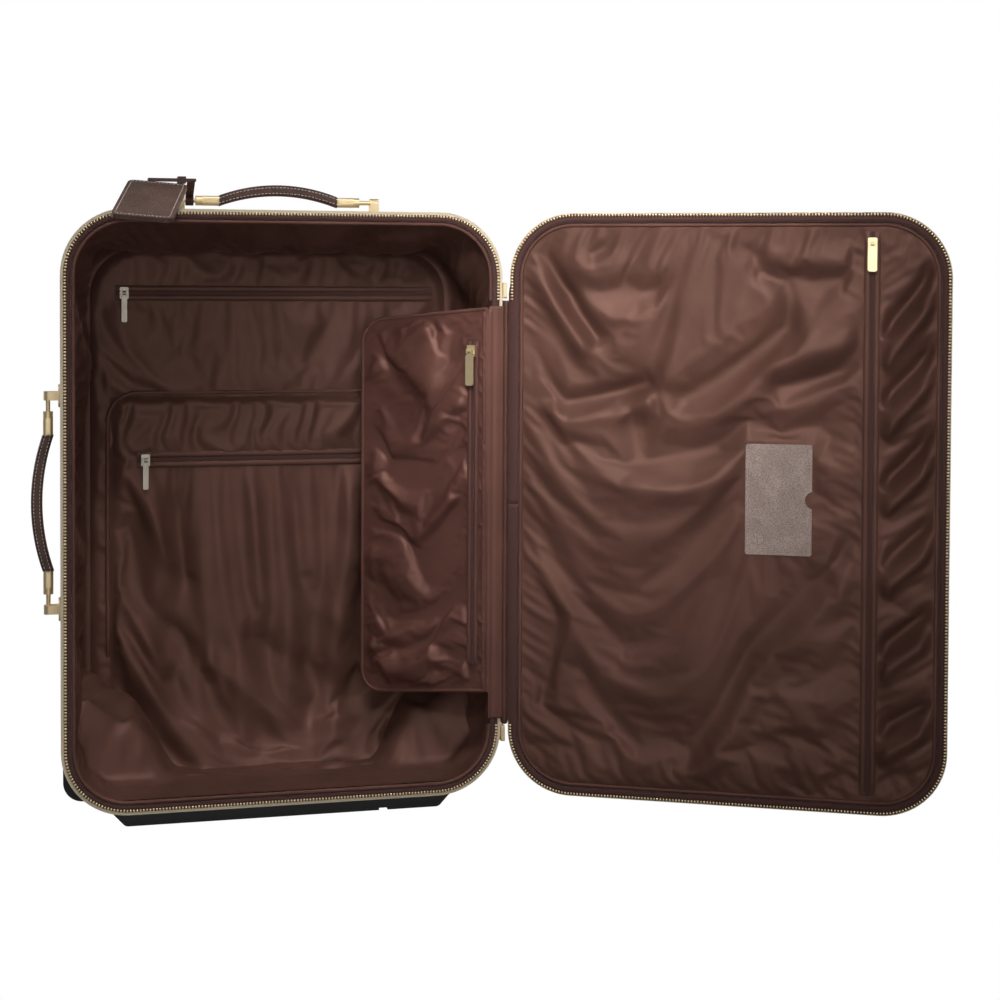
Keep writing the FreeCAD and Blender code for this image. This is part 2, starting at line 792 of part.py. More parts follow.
def lid():
    left = d.hinge_gap
    right = d.hinge_gap + d.shell_width
    front = d.rim_gap / 2
    pieces = [shell("lid_shell", left, right, front, d.lid_depth)]
    pieces.append(rim_ring("lid_zip_tape", left, right, front - d.tape_cloth, front, d.rim_width, -1))
    teeth_back = front - d.tape_cloth
    teeth_front = teeth_back - d.teeth_height
    pieces.append(rim_ring("lid_zip_teeth", left, right, teeth_front, teeth_back, d.teeth_width, -1))
    level = front + d.piping_sink
    pieces.append(rim_piping("lid_piping", left, right, level, middle, middle - d.piping_butt))
    panels = new_body("lid_panels")
    face = front + d.panel_sink
    inset = d.rim_width + d.piping_radius * 2 + d.seat_gap + d.soft_gap
    low = floor + inset
    high = roof - inset
    outline = rounded_box(left + inset, low, right - inset, high, d.corner_radius - inset)
    pad(panels, "panel", "y", face, face + d.panel_cloth, outline)
    slot_half = d.zip_width / 2 + d.soft_gap
    zip_x = right - d.lid_zip_inset
    slot = box(zip_x - slot_half, floor, zip_x + slot_half, roof)
    pocket(panels, "zip_slot", "y", face, face + d.panel_cloth, slot)
    round_edges(panels, "crown", d.panel_crown, flat_at("y", face))
    main_size = (d.main_fold_length, d.main_fold_width, d.main_fold_rise)
    fold(panels, "main_fold", d.main_fold_across, middle, face, *main_size, -d.main_fold_angle)
    hem_size = (d.hem_fold_length, d.hem_fold_width, d.hem_fold_rise)
    fold(panels, "hem_fold", d.hem_fold_across, low + d.hem_fold_inset, face, *hem_size, zero)
    side_size = (d.side_fold_length, d.side_fold_width, d.side_fold_rise)
    side_x = zip_x - d.side_fold_inset
    fold(panels, "side_fold", side_x, middle - d.side_fold_drop, face, *side_size, d.side_fold_angle)
    pieces.append(panels)
    zip_half = d.zip_width / 2
    zip_face = face + d.soft_gap + d.zip_cloth
    zip_front = zip_strip("lid_pocket_zip", zip_face, zip_x - zip_half, low, zip_x + zip_half, high, True)
    pieces.append(nodes[-1])
    slider_z = high - d.slider_height
    length = d.lid_pull_length
    pieces.extend(slider_and_pull("lid_pocket", zip_front, zip_x, slider_z, length, d.lid_pull_width))
    card = new_body("card_holder")
    card_right = d.card_left + d.card_width
    card_low = middle - d.card_drop
    card_high = card_low + d.card_height
    card_rear = face - d.soft_gap
    card_front = card_rear - d.card_leather
    card_outline = rounded_box(d.card_left, card_low, card_right, card_high, d.card_radius)
    pad(card, "leather", "y", card_front, card_rear, card_outline)
    notch_x = card_right - d.thumb_notch_depth + d.thumb_notch_radius
    notch = disc(notch_x, card_low + d.card_height / 2, d.thumb_notch_radius)
    pocket(card, "thumb_notch", "y", card_front, card_rear, notch)
    pieces.append(card)
    for piece in pieces:
        place_on_lid(piece)


# Hinged pouch, drawn about its sewn edge
def pouch():
    pieces = []
    body = new_body("pouch_pad")
    pieces.append(body)
    thick = d.pouch_depth / 2
    foot = hinge_low + d.pouch_rise
    head = hinge_high - d.pouch_drop
    outline = polygon(
        (-d.pouch_width, foot - d.pouch_droop), (-d.pouch_leaf, foot),
        (-d.pouch_leaf, head), (-d.pouch_width, head - d.pouch_droop),
    )
    pad(body, "pad", "y", -thick, thick, outline)
    round_edges(body, "free_corners", d.pouch_radius, through_at(-d.pouch_width))
    round_edges(body, "crown", d.pouch_crown, either(flat_at("y", -thick), flat_at("y", thick)))
    cloth = d.pouch_leaf_cloth / 2
    leaf_end = d.pouch_leaf + d.pouch_crown
    pad(body, "leaf", "z", foot, head, box(-leaf_end, -cloth, zero, cloth))
    pad(body, "bead", "z", foot, head, disc(zero, zero, d.pouch_bead_radius))
    zip_half = d.pouch_zip_width / 2
    low = foot + d.pouch_zip_margin
    high = head - d.pouch_zip_margin
    x = -d.pouch_zip_across
    zip_front = zip_strip("pouch_zip", -thick, x - zip_half, low, x + zip_half, high, True)
    pieces.append(nodes[-1])
    slider_z = high - d.slider_height
    pieces.extend(slider_and_pull("pouch", zip_front, x, slider_z, d.pouch_pull_length, d.pouch_pull_width))
    pivot_x = half - d.pouch_pivot_inset
    pivot_y = hinge_y + d.seat_gap + d.gusset_cloth / 2
    for piece in pieces:
        place(piece, pivot_x, pivot_y, 0, (0, 0, 1), -d.pouch_angle)


# Base, foot bar, wheels
def base():
    foot = new_body("foot_bar")
    long_top = half - d.foot_inset
    long_low = long_top - d.foot_slant
    half_depth = d.foot_depth / 2
    outline = polygon((-long_low, 0), (long_low, 0), (long_top, floor), (-long_top, floor))
    pad(foot, "bar", "y", -half_depth, half_depth, outline)
    round_edges(foot, "ends", d.foot_round, lambda box: box.XLength < NEAR and box.ZMax < NEAR)
    notch_end = d.foot_notch_place + d.foot_notch_width
    notch = box(d.foot_notch_place, zero, notch_end, d.foot_notch_height)
    pocket(foot, "notch", "y", -half_depth, half_depth, notch)
    plate = new_body("base_plate")
    wide = half - d.housing_inset - d.housing_width - d.base_side_gap
    under = floor - d.base_thickness
    rear = back - d.edge_radius
    pad(plate, "plate", "z", under, floor, box(-wide, d.base_front, wide, rear))
    ribs = []
    rib_half = d.base_rib_width / 2
    for step in range(-2, 3):
        x = d.base_rib_pitch * step
        ribs.append(box(x - rib_half, d.base_front + d.cut_margin, x + rib_half, rear - d.cut_margin))
    pad(plate, "ribs", "z", under - d.base_rib_height, under, *ribs)
    screws = new_body("base_screws")
    inset = d.screw_inset
    heads = []
    for side in (-1, 1):
        for y in (d.base_front + inset, rear - inset):
            heads.append(disc(side * (wide - inset), y, d.screw_head_radius))
    pad(screws, "heads", "z", under - d.screw_head_height, under, *heads)


axle_y = back + d.housing_proud - d.axle_back_inset
axle_z = d.wheel_radius
wheel_x = half - d.housing_inset - d.housing_width / 2


def wheel_end(prefix, side):
    """A moulded corner housing with an open wheel well, and the wheel that turns in it."""
    housing = new_body(prefix + "_wheel_housing")
    outer = half - d.housing_inset
    inner = outer - d.housing_width
    rear = back + d.housing_proud
    front = rear - d.housing_length
    pad(housing, "block", "y", front, rear, box(side * inner, d.housing_bottom, side * outer, d.housing_top))
    edge_x = outer * side
    lower = flat_at("z", d.housing_bottom)
    round_edges(housing, "outer_corner", d.housing_round, both(flat_at("x", edge_x), lower))
    round_edges(housing, "far_edges", d.housing_edge, flat_at("y", rear))
    well_half = d.wheel_width / 2 + d.wheel_side_gap
    centre = wheel_x * side
    well = disc(axle_y, axle_z, d.wheel_radius + d.wheel_clearance)
    pocket(housing, "wheel_well", "x", centre - well_half, centre + well_half, well)
    bore_half = well_half + d.axle_grip + d.seat_gap
    bore = disc(axle_y, axle_z, d.axle_radius + d.pin_fit)
    pocket(housing, "axle_bore", "x", centre - bore_half, centre + bore_half, bore)
    wheel_half = d.wheel_width / 2
    hub = new_body(prefix + "_wheel_hub")
    bored = disc(axle_y, axle_z, d.axle_radius + d.pin_fit)
    pad(hub, "disc", "x", centre - wheel_half, centre + wheel_half, disc(axle_y, axle_z, d.hub_radius), bored)
    dish = [disc(axle_y, axle_z, d.hub_radius - d.hub_dish), disc(axle_y, axle_z, d.hub_boss_radius)]
    for name, start in (("left_dish", -wheel_half), ("right_dish", wheel_half - d.hub_dish)):
        pocket(hub, name, "x", centre + start, centre + start + d.hub_dish, *dish)
    holes = []
    for step in range(6):
        turn = step * math.pi / 3
        y = axle_y + d.hub_hole_circle * math.cos(turn)
        z = axle_z + d.hub_hole_circle * math.sin(turn)
        holes.append(disc(y, z, d.hub_hole_radius))
    pocket(hub, "lightening_holes", "x", centre - wheel_half, centre + wheel_half, *holes)
    tyre = new_body(prefix + "_wheel_tyre")
    inside = disc(axle_y, axle_z, d.hub_radius + d.seat_gap)
    outside = disc(axle_y, axle_z, d.wheel_radius)
    pad(tyre, "ring", "x", centre - wheel_half, centre + wheel_half, outside, inside)
    wider = d.hub_radius.number + d.wheel_radius.number
    round_edges(tyre, "tread", d.wheel_round, lambda box: box.XLength < NEAR and box.YLength > wider)


def wheels():
    for prefix, side in (("left", -1), ("right", 1)):
        wheel_end(prefix, side)
    axles = new_body("wheel_axles")
    length = d.wheel_width / 2 + d.wheel_side_gap + d.axle_grip
    for name, side in (("left", -1), ("right", 1)):
        centre = wheel_x * side
        pad(axles, name, "x", centre - length, centre + length, disc(axle_y, axle_z, d.axle_radius))


# Trolley
def tube_pair(label, low, high, shrink):
    """Two rectangular tubes, each stage smaller than the one it slides in."""
    body = new_body(label)
    width = d.tube_width / 2 - shrink
    depth = d.tube_depth / 2 - shrink
    wall = d.tube_wall
    walls = []
    for side in (-1, 1):
        x = d.tube_spread * side
        for trim in (zero, wall):
            w = width - trim
            h = depth - trim
            walls.append(rounded_box(x - w, tube_y - h, x + w, tube_y + h, d.tube_round - trim))
    pad(body, "tubes", "z", low, high, *walls)
    return body


def trolley():
    bracket_low = floor + d.shell_wall
    tube_low = bracket_low + d.bracket_wall
    cup_bottom = roof - d.cup_depth - d.cup_wall
    step = d.tube_wall + d.slide_fit
    bracket = new_body("trolley_bracket")
    wide = d.tube_spread + d.tube_width / 2 + d.bracket_wall
    deep = d.tube_depth / 2 + d.board_thickness
    outline = rounded_box(-wide, tube_y - deep, wide, tube_y + deep, d.tube_round)
    pad(bracket, "block", "z", bracket_low, bracket_low + d.bracket_height, outline)
    seats = []
    for side in (-1, 1):
        x = d.tube_spread * side
        w = d.tube_width / 2 + d.seat_gap
        h = d.tube_depth / 2 + d.seat_gap
        seats.append(box(x - w, tube_y - h, x + w, tube_y + h))
    pocket(bracket, "tube_seats", "z", tube_low, bracket_low + d.bracket_height, *seats)
    tube_pair("trolley_outer_tubes", tube_low, cup_bottom, zero)
    tube_pair("trolley_mid_tubes", tube_low + d.tube_step, roof - d.cup_depth + d.tube_step, step)
    grip_low = roof + d.grip_proud - d.grip_height
    tube_pair("trolley_inner_tubes", tube_low + d.tube_step * 2, grip_low + d.grip_socket, step * 2)
    cup = new_body("trolley_bezel")
    flange = d.flange_width
    length = d.cup_half_length
    width = d.cup_half_width
    pad(cup, "cup", "z", cup_bottom, roof, box(-length, tube_y - width, length, tube_y + width))
    plate = rounded_box(
        -length - flange, tube_y - width - flange, length + flange, tube_y + width + flange, flange * 2
    )
    pad(cup, "flange", "z", roof, roof + d.flange_height, plate)
    wall = d.cup_wall
    well = rounded_box(-length + wall, tube_y - width + wall, length - wall, tube_y + width - wall, wall)
    pocket(cup, "well", "z", roof - d.cup_depth, roof + d.flange_height, well)
    passages = []
    for side in (-1, 1):
        x = d.tube_spread * side
        w = d.tube_width / 2 - d.tube_wall
        h = d.tube_depth / 2 - d.tube_wall
        passages.append(box(x - w, tube_y - h, x + w, tube_y + h))
    pocket(cup, "tube_passages", "z", cup_bottom, roof - d.cup_depth, *passages)
    grip = new_body("trolley_grip")
    grip_top = roof + d.grip_proud
    gx = length - wall - d.slide_fit * 4
    gy = width - wall - d.slide_fit * 4
    pad(grip, "bar", "z", grip_low, grip_top, box(-gx, tube_y - gy, gx, tube_y + gy))
    round_edges(grip, "round", d.grip_round, flat_at("z", grip_top))
    sockets = []
    for side in (-1, 1):
        x = d.tube_spread * side
        w = d.tube_width / 2 - step * 2 + d.seat_gap
        h = d.tube_depth / 2 - step * 2 + d.seat_gap
        sockets.append(box(x - w, tube_y - h, x + w, tube_y + h))
    pocket(grip, "sockets", "z", grip_low, grip_low + d.grip_socket, *sockets)
    bx = d.button_length / 2
    by = d.button_width / 2
    gap = d.slide_fit
    well_low = grip_top - d.button_well
    opening = box(-bx - gap, tube_y - by - gap, bx + gap, tube_y + by + gap)
    pocket(grip, "button_well", "z", well_low, grip_top, opening)
    button = new_body("release_button")
    top = grip_top + d.button_proud
    button_low = top - d.button_height
    pad(button, "cap", "z", button_low, top, rounded_box(-bx, tube_y - by, bx, tube_y + by, d.tube_round))
    spring = new_body("button_spring")
    coil = [disc(zero, tube_y, d.spring_radius), disc(zero, tube_y, d.spring_radius - d.spring_wire)]
    pad(spring, "coil", "z", well_low + d.seat_gap, button_low - d.seat_gap, *coil)


# Carry handles, drawn lying along X on a flat wall, and the luggage tag
def carry_handle(prefix, reach):
    """Two riveted lugs with pins, and a leather grip whose metal eyes turn on the pins."""
    lugs = new_body(prefix + "_handle_lugs")
    plate_half = d.lug_plate_width / 2
    post_half = d.lug_post_width / 2
    height = d.lug_pin_height
    plates, posts = [], []
    for side in (-1, 1):
        plate_in = reach - (d.lug_plate_length - d.lug_post_length) / 2
        plate_out = plate_in + d.lug_plate_length
        ends = sorted((side * plate_in, side * plate_out), key=lambda size: size.number)
        plates.append(rounded_box(ends[0], -plate_half, ends[1], plate_half, d.lug_plate_round))
        posts.append(box(side * reach, -post_half, side * (reach + d.lug_post_length), post_half))
    pad(lugs, "plates", "z", 0, d.lug_plate, *plates)
    pad(lugs, "posts", "z", d.lug_plate, height + d.lug_post_over, *posts)
    post_tops = flat_at("z", height + d.lug_post_over)
    round_edges(lugs, "ears", d.lug_ear_round, lambda box: post_tops(box) and box.XLength > NEAR)
    pin_end = reach - d.lug_pin_length
    head_end = pin_end - d.lug_head_length
    for name, near, far, radius in (
        ("pin", pin_end, reach, d.lug_pin_radius), ("head", head_end, pin_end, d.lug_head_radius)
    ):
        pad(lugs, "right_" + name, "x", near, far, disc(0, height, radius))
        pad(lugs, "left_" + name, "x", -far, -near, disc(0, height, radius))
    fittings = new_body(prefix + "_handle_eyes")
    eye_out = reach - d.eye_place + d.eye_width / 2
    eye_in = eye_out - d.eye_width
    grip_end = head_end - d.neck_length
    bore = disc(0, height, d.lug_pin_radius + d.pin_fit)
    clearance = disc(0, height, d.lug_head_radius + d.slide_fit)
    neck_half = d.neck_width / 2
    for name, side in (("right", 1), ("left", -1)):
        ends = sorted((eye_in * side, eye_out * side), key=lambda size: size.number)
        pad(fittings, name + "_eye", "x", ends[0], ends[1], disc(0, height, d.eye_radius), bore)
        ends = sorted((grip_end * side, eye_in * side), key=lambda size: size.number)
        neck = box(-neck_half, height - d.neck_height / 2, neck_half, height + d.neck_height / 2)
        pad(fittings, name + "_neck", "x", ends[0], ends[1], neck)
        ends = sorted(((head_end - d.slide_fit) * side, eye_in * side), key=lambda size: size.number)
        pocket(fittings, name + "_head_room", "x", ends[0], ends[1], clearance)
    neck_sides = either(flat_at("y", -neck_half), flat_at("y", neck_half))
    round_edges(fittings, "necks", d.neck_round, lambda box: neck_sides(box) and box.XLength > NEAR)
    grip = new_body(prefix + "_handle_grip")
    width = d.grip_leather_width / 2
    low = height - d.grip_leather_height / 2
    bow = arch(grip_end - d.seat_gap, low, d.grip_arch, d.grip_leather_height)
    pad(grip, "bow", "y", -width, width, bow)
    long_edges = either(flat_at("y", -width), flat_at("y", width))
    round_edges(grip, "round", d.grip_leather_round, lambda box: long_edges(box) and box.XLength > NEAR)
    return [lugs, fittings, grip]


def handles():
    for piece in carry_handle("top", d.top_reach):
        place(piece, 0, d.handle_place, roof)
    for piece in carry_handle("side", d.side_reach):
        place(piece, -half, d.handle_place, middle + d.side_handle_rise, (0, 1, 0), as_size(-90))


def luggage_tag():
    pin_z = roof + d.lug_pin_height
    strap = new_body("tag_strap")
    inside = d.lug_pin_radius + d.slide_fit
    outside = inside + d.strap_leather
    right = -d.top_reach + d.lug_post_length
    left = right - d.strap_width
    pad(strap, "loop", "x", left, right, disc(0, 0, outside))
    arm_rear = d.tag_forward - d.strap_band_width
    lift = d.strap_lift
    arm = polygon(
        (inside, inside), (-arm_rear, lift), (-arm_rear, lift + d.strap_leather), (0, outside)
    )
    pad(strap, "arm", "x", left, right, arm)
    band_front = d.tag_forward + d.cut_margin
    band = box(-band_front, lift, -arm_rear, lift + d.strap_leather)
    pad(strap, "band", "x", -d.strap_band_end, right, band)
    pocket(strap, "bore", "x", left, right, disc(0, 0, inside))
    place(strap, 0, d.handle_place, pin_z)
    keeper = new_body("tag_keeper")
    gap = d.seat_gap
    frames = []
    for grow in (gap, gap + d.keeper_leather):
        frames.append(box(-band_front - grow, lift - grow, -arm_rear + grow, lift + d.strap_leather + grow))
    keeper_left = left - d.keeper_length - d.cut_margin
    pad(keeper, "frame", "x", keeper_left, keeper_left + d.keeper_length, *frames)
    place(keeper, 0, d.handle_place, pin_z)
    tag = new_body("luggage_tag")
    wide = d.tag_width / 2
    leather = d.tag_leather / 2
    outline = rounded_box(-wide, -d.tag_length, wide, 0, d.tag_radius)
    pad(tag, "leather", "z", -leather, leather, outline, turn=-d.tag_yaw_angle)
    place(tag, -d.tag_across, d.handle_place - d.tag_forward, pin_z + d.tag_rise, (1, 0, 0), d.tag_tilt_angle)


def main_zip_sliders():
    """The two sliders of the mouth zip, parked outside the wall where the track ends beside the hinge."""
    body = new_body("main_zip_sliders")
    inner = half + d.soft_gap
    front = hinge_y - d.main_slider_over
    rear = front + d.main_slider_width
    height = d.main_slider_height
    upper_low = hinge_high + d.cut_margin
    lower_low = hinge_low - d.cut_margin - height
    for name, low in (("upper", upper_low), ("lower", lower_low)):
        outline = rounded_box(front, low, rear, low + height, d.slider_round)
        pad(body, name, "x", inner, inner + d.slider_depth, outline)


case_shells()
case_lining()
case_pockets()
gussets()
lid()
pouch()
base()
wheels()
trolley()
handles()
luggage_tag()
main_zip_sliders()
doc.recompute()

failed = [item for item in doc.Objects if "Invalid" in item.State or "Error" in item.State]
for item in failed:
    print(item.Name, item.Label, item.State, item.getStatusString())
if failed:
    raise RuntimeError("%d features failed" % len(failed))
os.makedirs("parts", exist_ok=True)
for body in nodes:
    if body.Shape.isNull() or not body.Shape.isValid():
        raise RuntimeError("%s has no valid shape" % body.Label)
for body in nodes:
    body.Shape.exportStep(os.path.join("parts", body.Label + ".step"))
    print("%-24s %d solids %10.1f mm3" % (body.Label, len(body.Shape.Solids), body.Shape.Volume))
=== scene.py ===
from functools import partial
import json
import math
import random

import bpy
import numpy as np
from mathutils import Matrix, Vector


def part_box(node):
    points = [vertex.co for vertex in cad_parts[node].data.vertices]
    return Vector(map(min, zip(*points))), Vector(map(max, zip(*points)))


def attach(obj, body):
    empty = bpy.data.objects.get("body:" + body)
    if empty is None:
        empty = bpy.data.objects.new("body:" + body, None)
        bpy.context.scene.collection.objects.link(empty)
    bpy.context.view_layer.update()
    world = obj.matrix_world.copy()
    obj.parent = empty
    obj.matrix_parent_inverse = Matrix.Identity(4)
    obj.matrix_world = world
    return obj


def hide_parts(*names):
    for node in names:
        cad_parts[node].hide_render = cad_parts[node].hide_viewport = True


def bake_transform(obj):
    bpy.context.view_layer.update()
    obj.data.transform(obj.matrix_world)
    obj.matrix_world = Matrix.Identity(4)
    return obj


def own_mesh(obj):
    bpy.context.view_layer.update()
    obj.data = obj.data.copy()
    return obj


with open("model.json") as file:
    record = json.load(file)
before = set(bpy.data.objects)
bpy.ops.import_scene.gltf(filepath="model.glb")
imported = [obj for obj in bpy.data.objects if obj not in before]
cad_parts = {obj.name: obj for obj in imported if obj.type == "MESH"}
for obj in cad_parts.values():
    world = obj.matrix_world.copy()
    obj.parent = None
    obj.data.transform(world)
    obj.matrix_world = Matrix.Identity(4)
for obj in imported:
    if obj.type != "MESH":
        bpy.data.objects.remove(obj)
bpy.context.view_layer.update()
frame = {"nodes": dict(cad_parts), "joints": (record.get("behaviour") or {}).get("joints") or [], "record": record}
nodes = frame["nodes"]
joints = {joint["name"]: joint for joint in frame["joints"]}
bpy.ops.object.select_all(action="DESELECT")
scene = bpy.context.scene
MM = 0.001
HERE = Matrix.Identity(4)

# Places of the case, the lid and the pouch. Soft pieces are drawn flat: x right, y up, z towards the viewer.
FLAT = Matrix(((1, 0, 0, 0), (0, 0, -1, 0), (0, 1, 0, 0), (0, 0, 0, 1)))


def swung(joint, degrees):
    """The place of something drawn flat about a hinge and turned about the upright axis."""
    x, y, _ = joints[joint]["pos_m"]
    return Matrix.Translation((x, y, 0)) @ Matrix.Rotation(math.radians(degrees), 4, "Z") @ FLAT


LID_TURN = -180 - joints["lid_hinge"]["range_deg"][0]
pull_axis = joints["pouch_pull_hinge"]["axis"]
POUCH_TURN = math.degrees(math.atan2(-pull_axis[1], -pull_axis[0]))
CASE = FLAT
LID = swung("lid_hinge", LID_TURN)
POUCH = swung("pouch_hinge", POUCH_TURN)

# Sizes of the case, the lid and the pouch taken from the frame, in millimetres
shell_low, shell_high = (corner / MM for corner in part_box("case_shell"))
LEFT, RIGHT = shell_low.x, shell_high.x
LOW, HIGH = shell_low.z, shell_high.z
RIM = shell_low.y
MIDDLE = (LOW + HIGH) / 2
HINGE_X, HINGE_Y = (value / MM for value in joints["lid_hinge"]["pos_m"][:2])
LID_LEFT = HINGE_X - RIGHT
LID_RIGHT = LID_LEFT + (RIGHT - LEFT)
LID_RIM = RIM - HINGE_Y
gusset_low, gusset_high = (corner.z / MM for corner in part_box("hinge_gusset"))
pouch_low, pouch_high = (corner.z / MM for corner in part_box("pouch_pad"))
pull_low, pull_high = (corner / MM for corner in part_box("pouch_pull"))

# Set here: the radius of the shell's corners, and how far inside its edge the linings begin
CORNER = 58.0
SEAM = 10.5


def adjust(thing, **settings):
    """Sets several properties of something in Blender, and gives it back."""
    for name, value in settings.items():
        setattr(thing, name, value)
    return thing


# Shader arithmetic
class Wire:
    """A shader socket that takes part in arithmetic."""

    def __init__(self, graph, socket):
        self.graph = graph
        self.socket = socket

    def math(self, operation, first, second):
        return self.graph.node("ShaderNodeMath", {"operation": operation}, {0: first, 1: second})

    def __add__(self, other):
        return self.math("ADD", self, other)

    def __sub__(self, other):
        return self.math("SUBTRACT", self, other)

    def __rsub__(self, other):
        return self.math("SUBTRACT", other, self)

    def __mul__(self, other):
        return self.math("MULTIPLY", self, other)

    __radd__ = __add__
    __rmul__ = __mul__


class Graph:
    """A node tree with one output."""

    def __init__(self, tree, output):
        self.tree = tree
        tree.nodes.clear()
        self.output = tree.nodes.new(output)

    def node(self, kind, settings, inputs, output=0):
        """Adds a node, sets it up, and feeds its sockets with values or wires."""
        node = adjust(self.tree.nodes.new(kind), **settings)
        for name, value in inputs.items():
            self.feed(node.inputs[name], value)
        return Wire(self, node.outputs[output])

    def feed(self, socket, value):
        if isinstance(value, Wire):
            self.tree.links.new(value.socket, socket)
        else:
            socket.default_value = value

    def show(self, shader):
        self.feed(self.output.inputs["Surface"], shader)


class Finish(Graph):
    """One material: a principled shader and the nodes that feed it."""

    # Sockets of a Mix node that hold colours
    FIRST_COLOUR, SECOND_COLOUR, MIXED_COLOUR = 6, 7, 2

    def __init__(self, name, **constants):
        self.material = bpy.data.materials.new(name)
        self.material.use_nodes = True
        super().__init__(self.material.node_tree, "ShaderNodeOutputMaterial")
        self.shader = self.node("ShaderNodeBsdfPrincipled", {}, {})
        self.show(self.shader)
        self.set(**constants)

    def set(self, **values):
        for name, value in values.items():
            self.feed(self.shader.socket.node.inputs[name.replace("_", " ")], value)

    def place(self, scale=(1, 1, 1)):
        here = self.node("ShaderNodeTexCoord", {}, {}, "Object")
        return self.node("ShaderNodeMapping", {}, {"Vector": here, "Scale": scale})

    def noise(self, size_mm, detail, vector=None):
        """Soft noise whose blotches are about the given size across."""
        return self.node("ShaderNodeTexNoise", {}, {
            "Vector": vector or self.place(), "Scale": 1 / MM / size_mm, "Detail": detail})

    def ramp(self, value, low, high):
        return self.node("ShaderNodeMapRange", {"interpolation_type": "SMOOTHSTEP"}, {
            "Value": value, "From Min": low, "From Max": high})

    def mix(self, factor, first, second):
        inputs = {"Factor": factor, self.FIRST_COLOUR: first, self.SECOND_COLOUR: second}
        return self.node("ShaderNodeMix", {"data_type": "RGBA"}, inputs, self.MIXED_COLOUR)

    def bump(self, height, strength, distance_mm):
        self.set(Normal=self.node("ShaderNodeBump", {}, {
            "Height": height, "Strength": strength, "Distance": distance_mm * MM}))


def colour(red, green, blue):
    """A colour given as it looks on screen, from 0 to 255, as linear light."""
    def linear(value):
        value /= 255
        return value / 12.92 if value <= 0.04045 else ((value + 0.055) / 1.055) ** 2.4
    return (linear(red), linear(green), linear(blue), 1.0)


def shaded(tone, share):
    """A screen colour with each part cut to a share of itself, as linear light."""
    return colour(*(part * share for part in tone))


def woven(finish, pitch_mm):
    """A plain weave: two crossed sets of fine threads, as a height from 0 to 1."""
    wave_period = 6.2832
    threads = [finish.node(
        "ShaderNodeTexWave", {"wave_type": "BANDS", "bands_direction": direction},
        {"Vector": finish.place(), "Scale": 1 / MM / pitch_mm / wave_period * 2, "Distortion": 0.6,
         "Detail": 1.0, "Detail Scale": 2.0}) for direction in ("X", "Z")]
    return (threads[0] + threads[1]) * 0.5


def satin(name, dark, light, gloss=0.46, shine=0.65):
    """Lining satin: a brown gloss, faint thread and patches of slightly different brown."""
    finish = Finish(
        name, Sheen_Weight=0.12, Sheen_Roughness=0.35, Sheen_Tint=colour(176, 128, 112),
        Specular_IOR_Level=shine, Specular_Tint=colour(214, 166, 150))
    patches = finish.ramp(finish.noise(60, 3.0), 0.35, 0.68)
    thread = woven(finish, 0.55)
    tone = finish.mix(patches, colour(*dark), colour(*light))
    finish.set(Base_Color=finish.mix(thread * 0.12, tone, colour(30, 18, 15)))
    finish.set(Roughness=finish.noise(9, 3.0) * 0.14 + (gloss - 0.07))
    finish.bump(thread * 0.3 + finish.noise(5, 4.0) * 0.5 + finish.noise(24, 3.0) * 2.0, 0.3, 0.5)
    return finish.material


def leather(name, dark, light, grain_mm=1.1, gloss=0.45):
    """Pressed leather: pebbled grain, darker in the creases and rubbed lighter on top."""
    finish = Finish(name, Specular_IOR_Level=0.45)
    cells = finish.node("ShaderNodeTexVoronoi", {"feature": "SMOOTH_F1"}, {
        "Vector": finish.place(), "Scale": 1 / MM / grain_mm, "Smoothness": 0.6})
    pebble = finish.ramp(cells, 0.15, 0.75)
    mottle = finish.ramp(finish.noise(18, 4.0), 0.3, 0.7)
    tone = finish.mix(mottle, colour(*dark), colour(*light))
    creased = finish.mix(pebble * 0.55, tone, shaded(dark, 0.55))
    finish.set(Base_Color=creased, Roughness=pebble * 0.18 + gloss)
    finish.bump(1 - pebble + finish.noise(0.5, 2.0) * 0.25, 0.35, 0.25)
    return finish.material


def metal(name, tone, gloss=0.3, scratch=0.12):
    """Polished plated metal with fine handling scratches."""
    finish = Finish(name, Metallic=1.0)
    streaks = finish.noise(1.2, 4.0, finish.place(scale=(1, 1, 0.06)))
    cloud = finish.noise(7, 3.0)
    finish.set(Base_Color=finish.mix(cloud * 0.35, colour(*tone), shaded(tone, 0.82)))
    finish.set(Roughness=streaks * scratch + cloud * 0.08 + (gloss - 0.06))
    finish.bump(streaks, 0.06, 0.1)
    return finish.material


def moulded(name, tone, gloss=0.55, grain_mm=0.7):
    """Moulded plastic with a spark-eroded grain and a little dust on it."""
    finish = Finish(name, Specular_IOR_Level=0.4)
    grain = finish.noise(grain_mm, 3.0)
    dust = finish.ramp(finish.noise(24, 5.0), 0.45, 0.8)
    finish.set(Base_Color=finish.mix(dust * 0.25, colour(*tone), colour(*(part + 26 for part in tone))))
    finish.set(Roughness=grain * 0.16 + dust * 0.08 + (gloss - 0.1))
    finish.bump(grain, 0.3, 0.12)
    return finish.material


def canvas(name, tone, shade):
    """Coated canvas: a cream plain weave under a thin glossy film, a little yellowed in patches."""
    finish = Finish(name, Specular_IOR_Level=0.4)
    thread = woven(finish, 1.0)
    patches = finish.ramp(finish.noise(90, 4.0), 0.3, 0.75)
    patched = finish.mix(patches, colour(*tone), colour(*shade))
    finish.set(Base_Color=finish.mix(thread * 0.22, patched, shaded(shade, 0.72)))
    finish.set(Roughness=0.62 - thread * 0.12)
    finish.bump(thread + finish.noise(30, 2.0) * 0.6, 0.4, 0.2)
    return finish.material


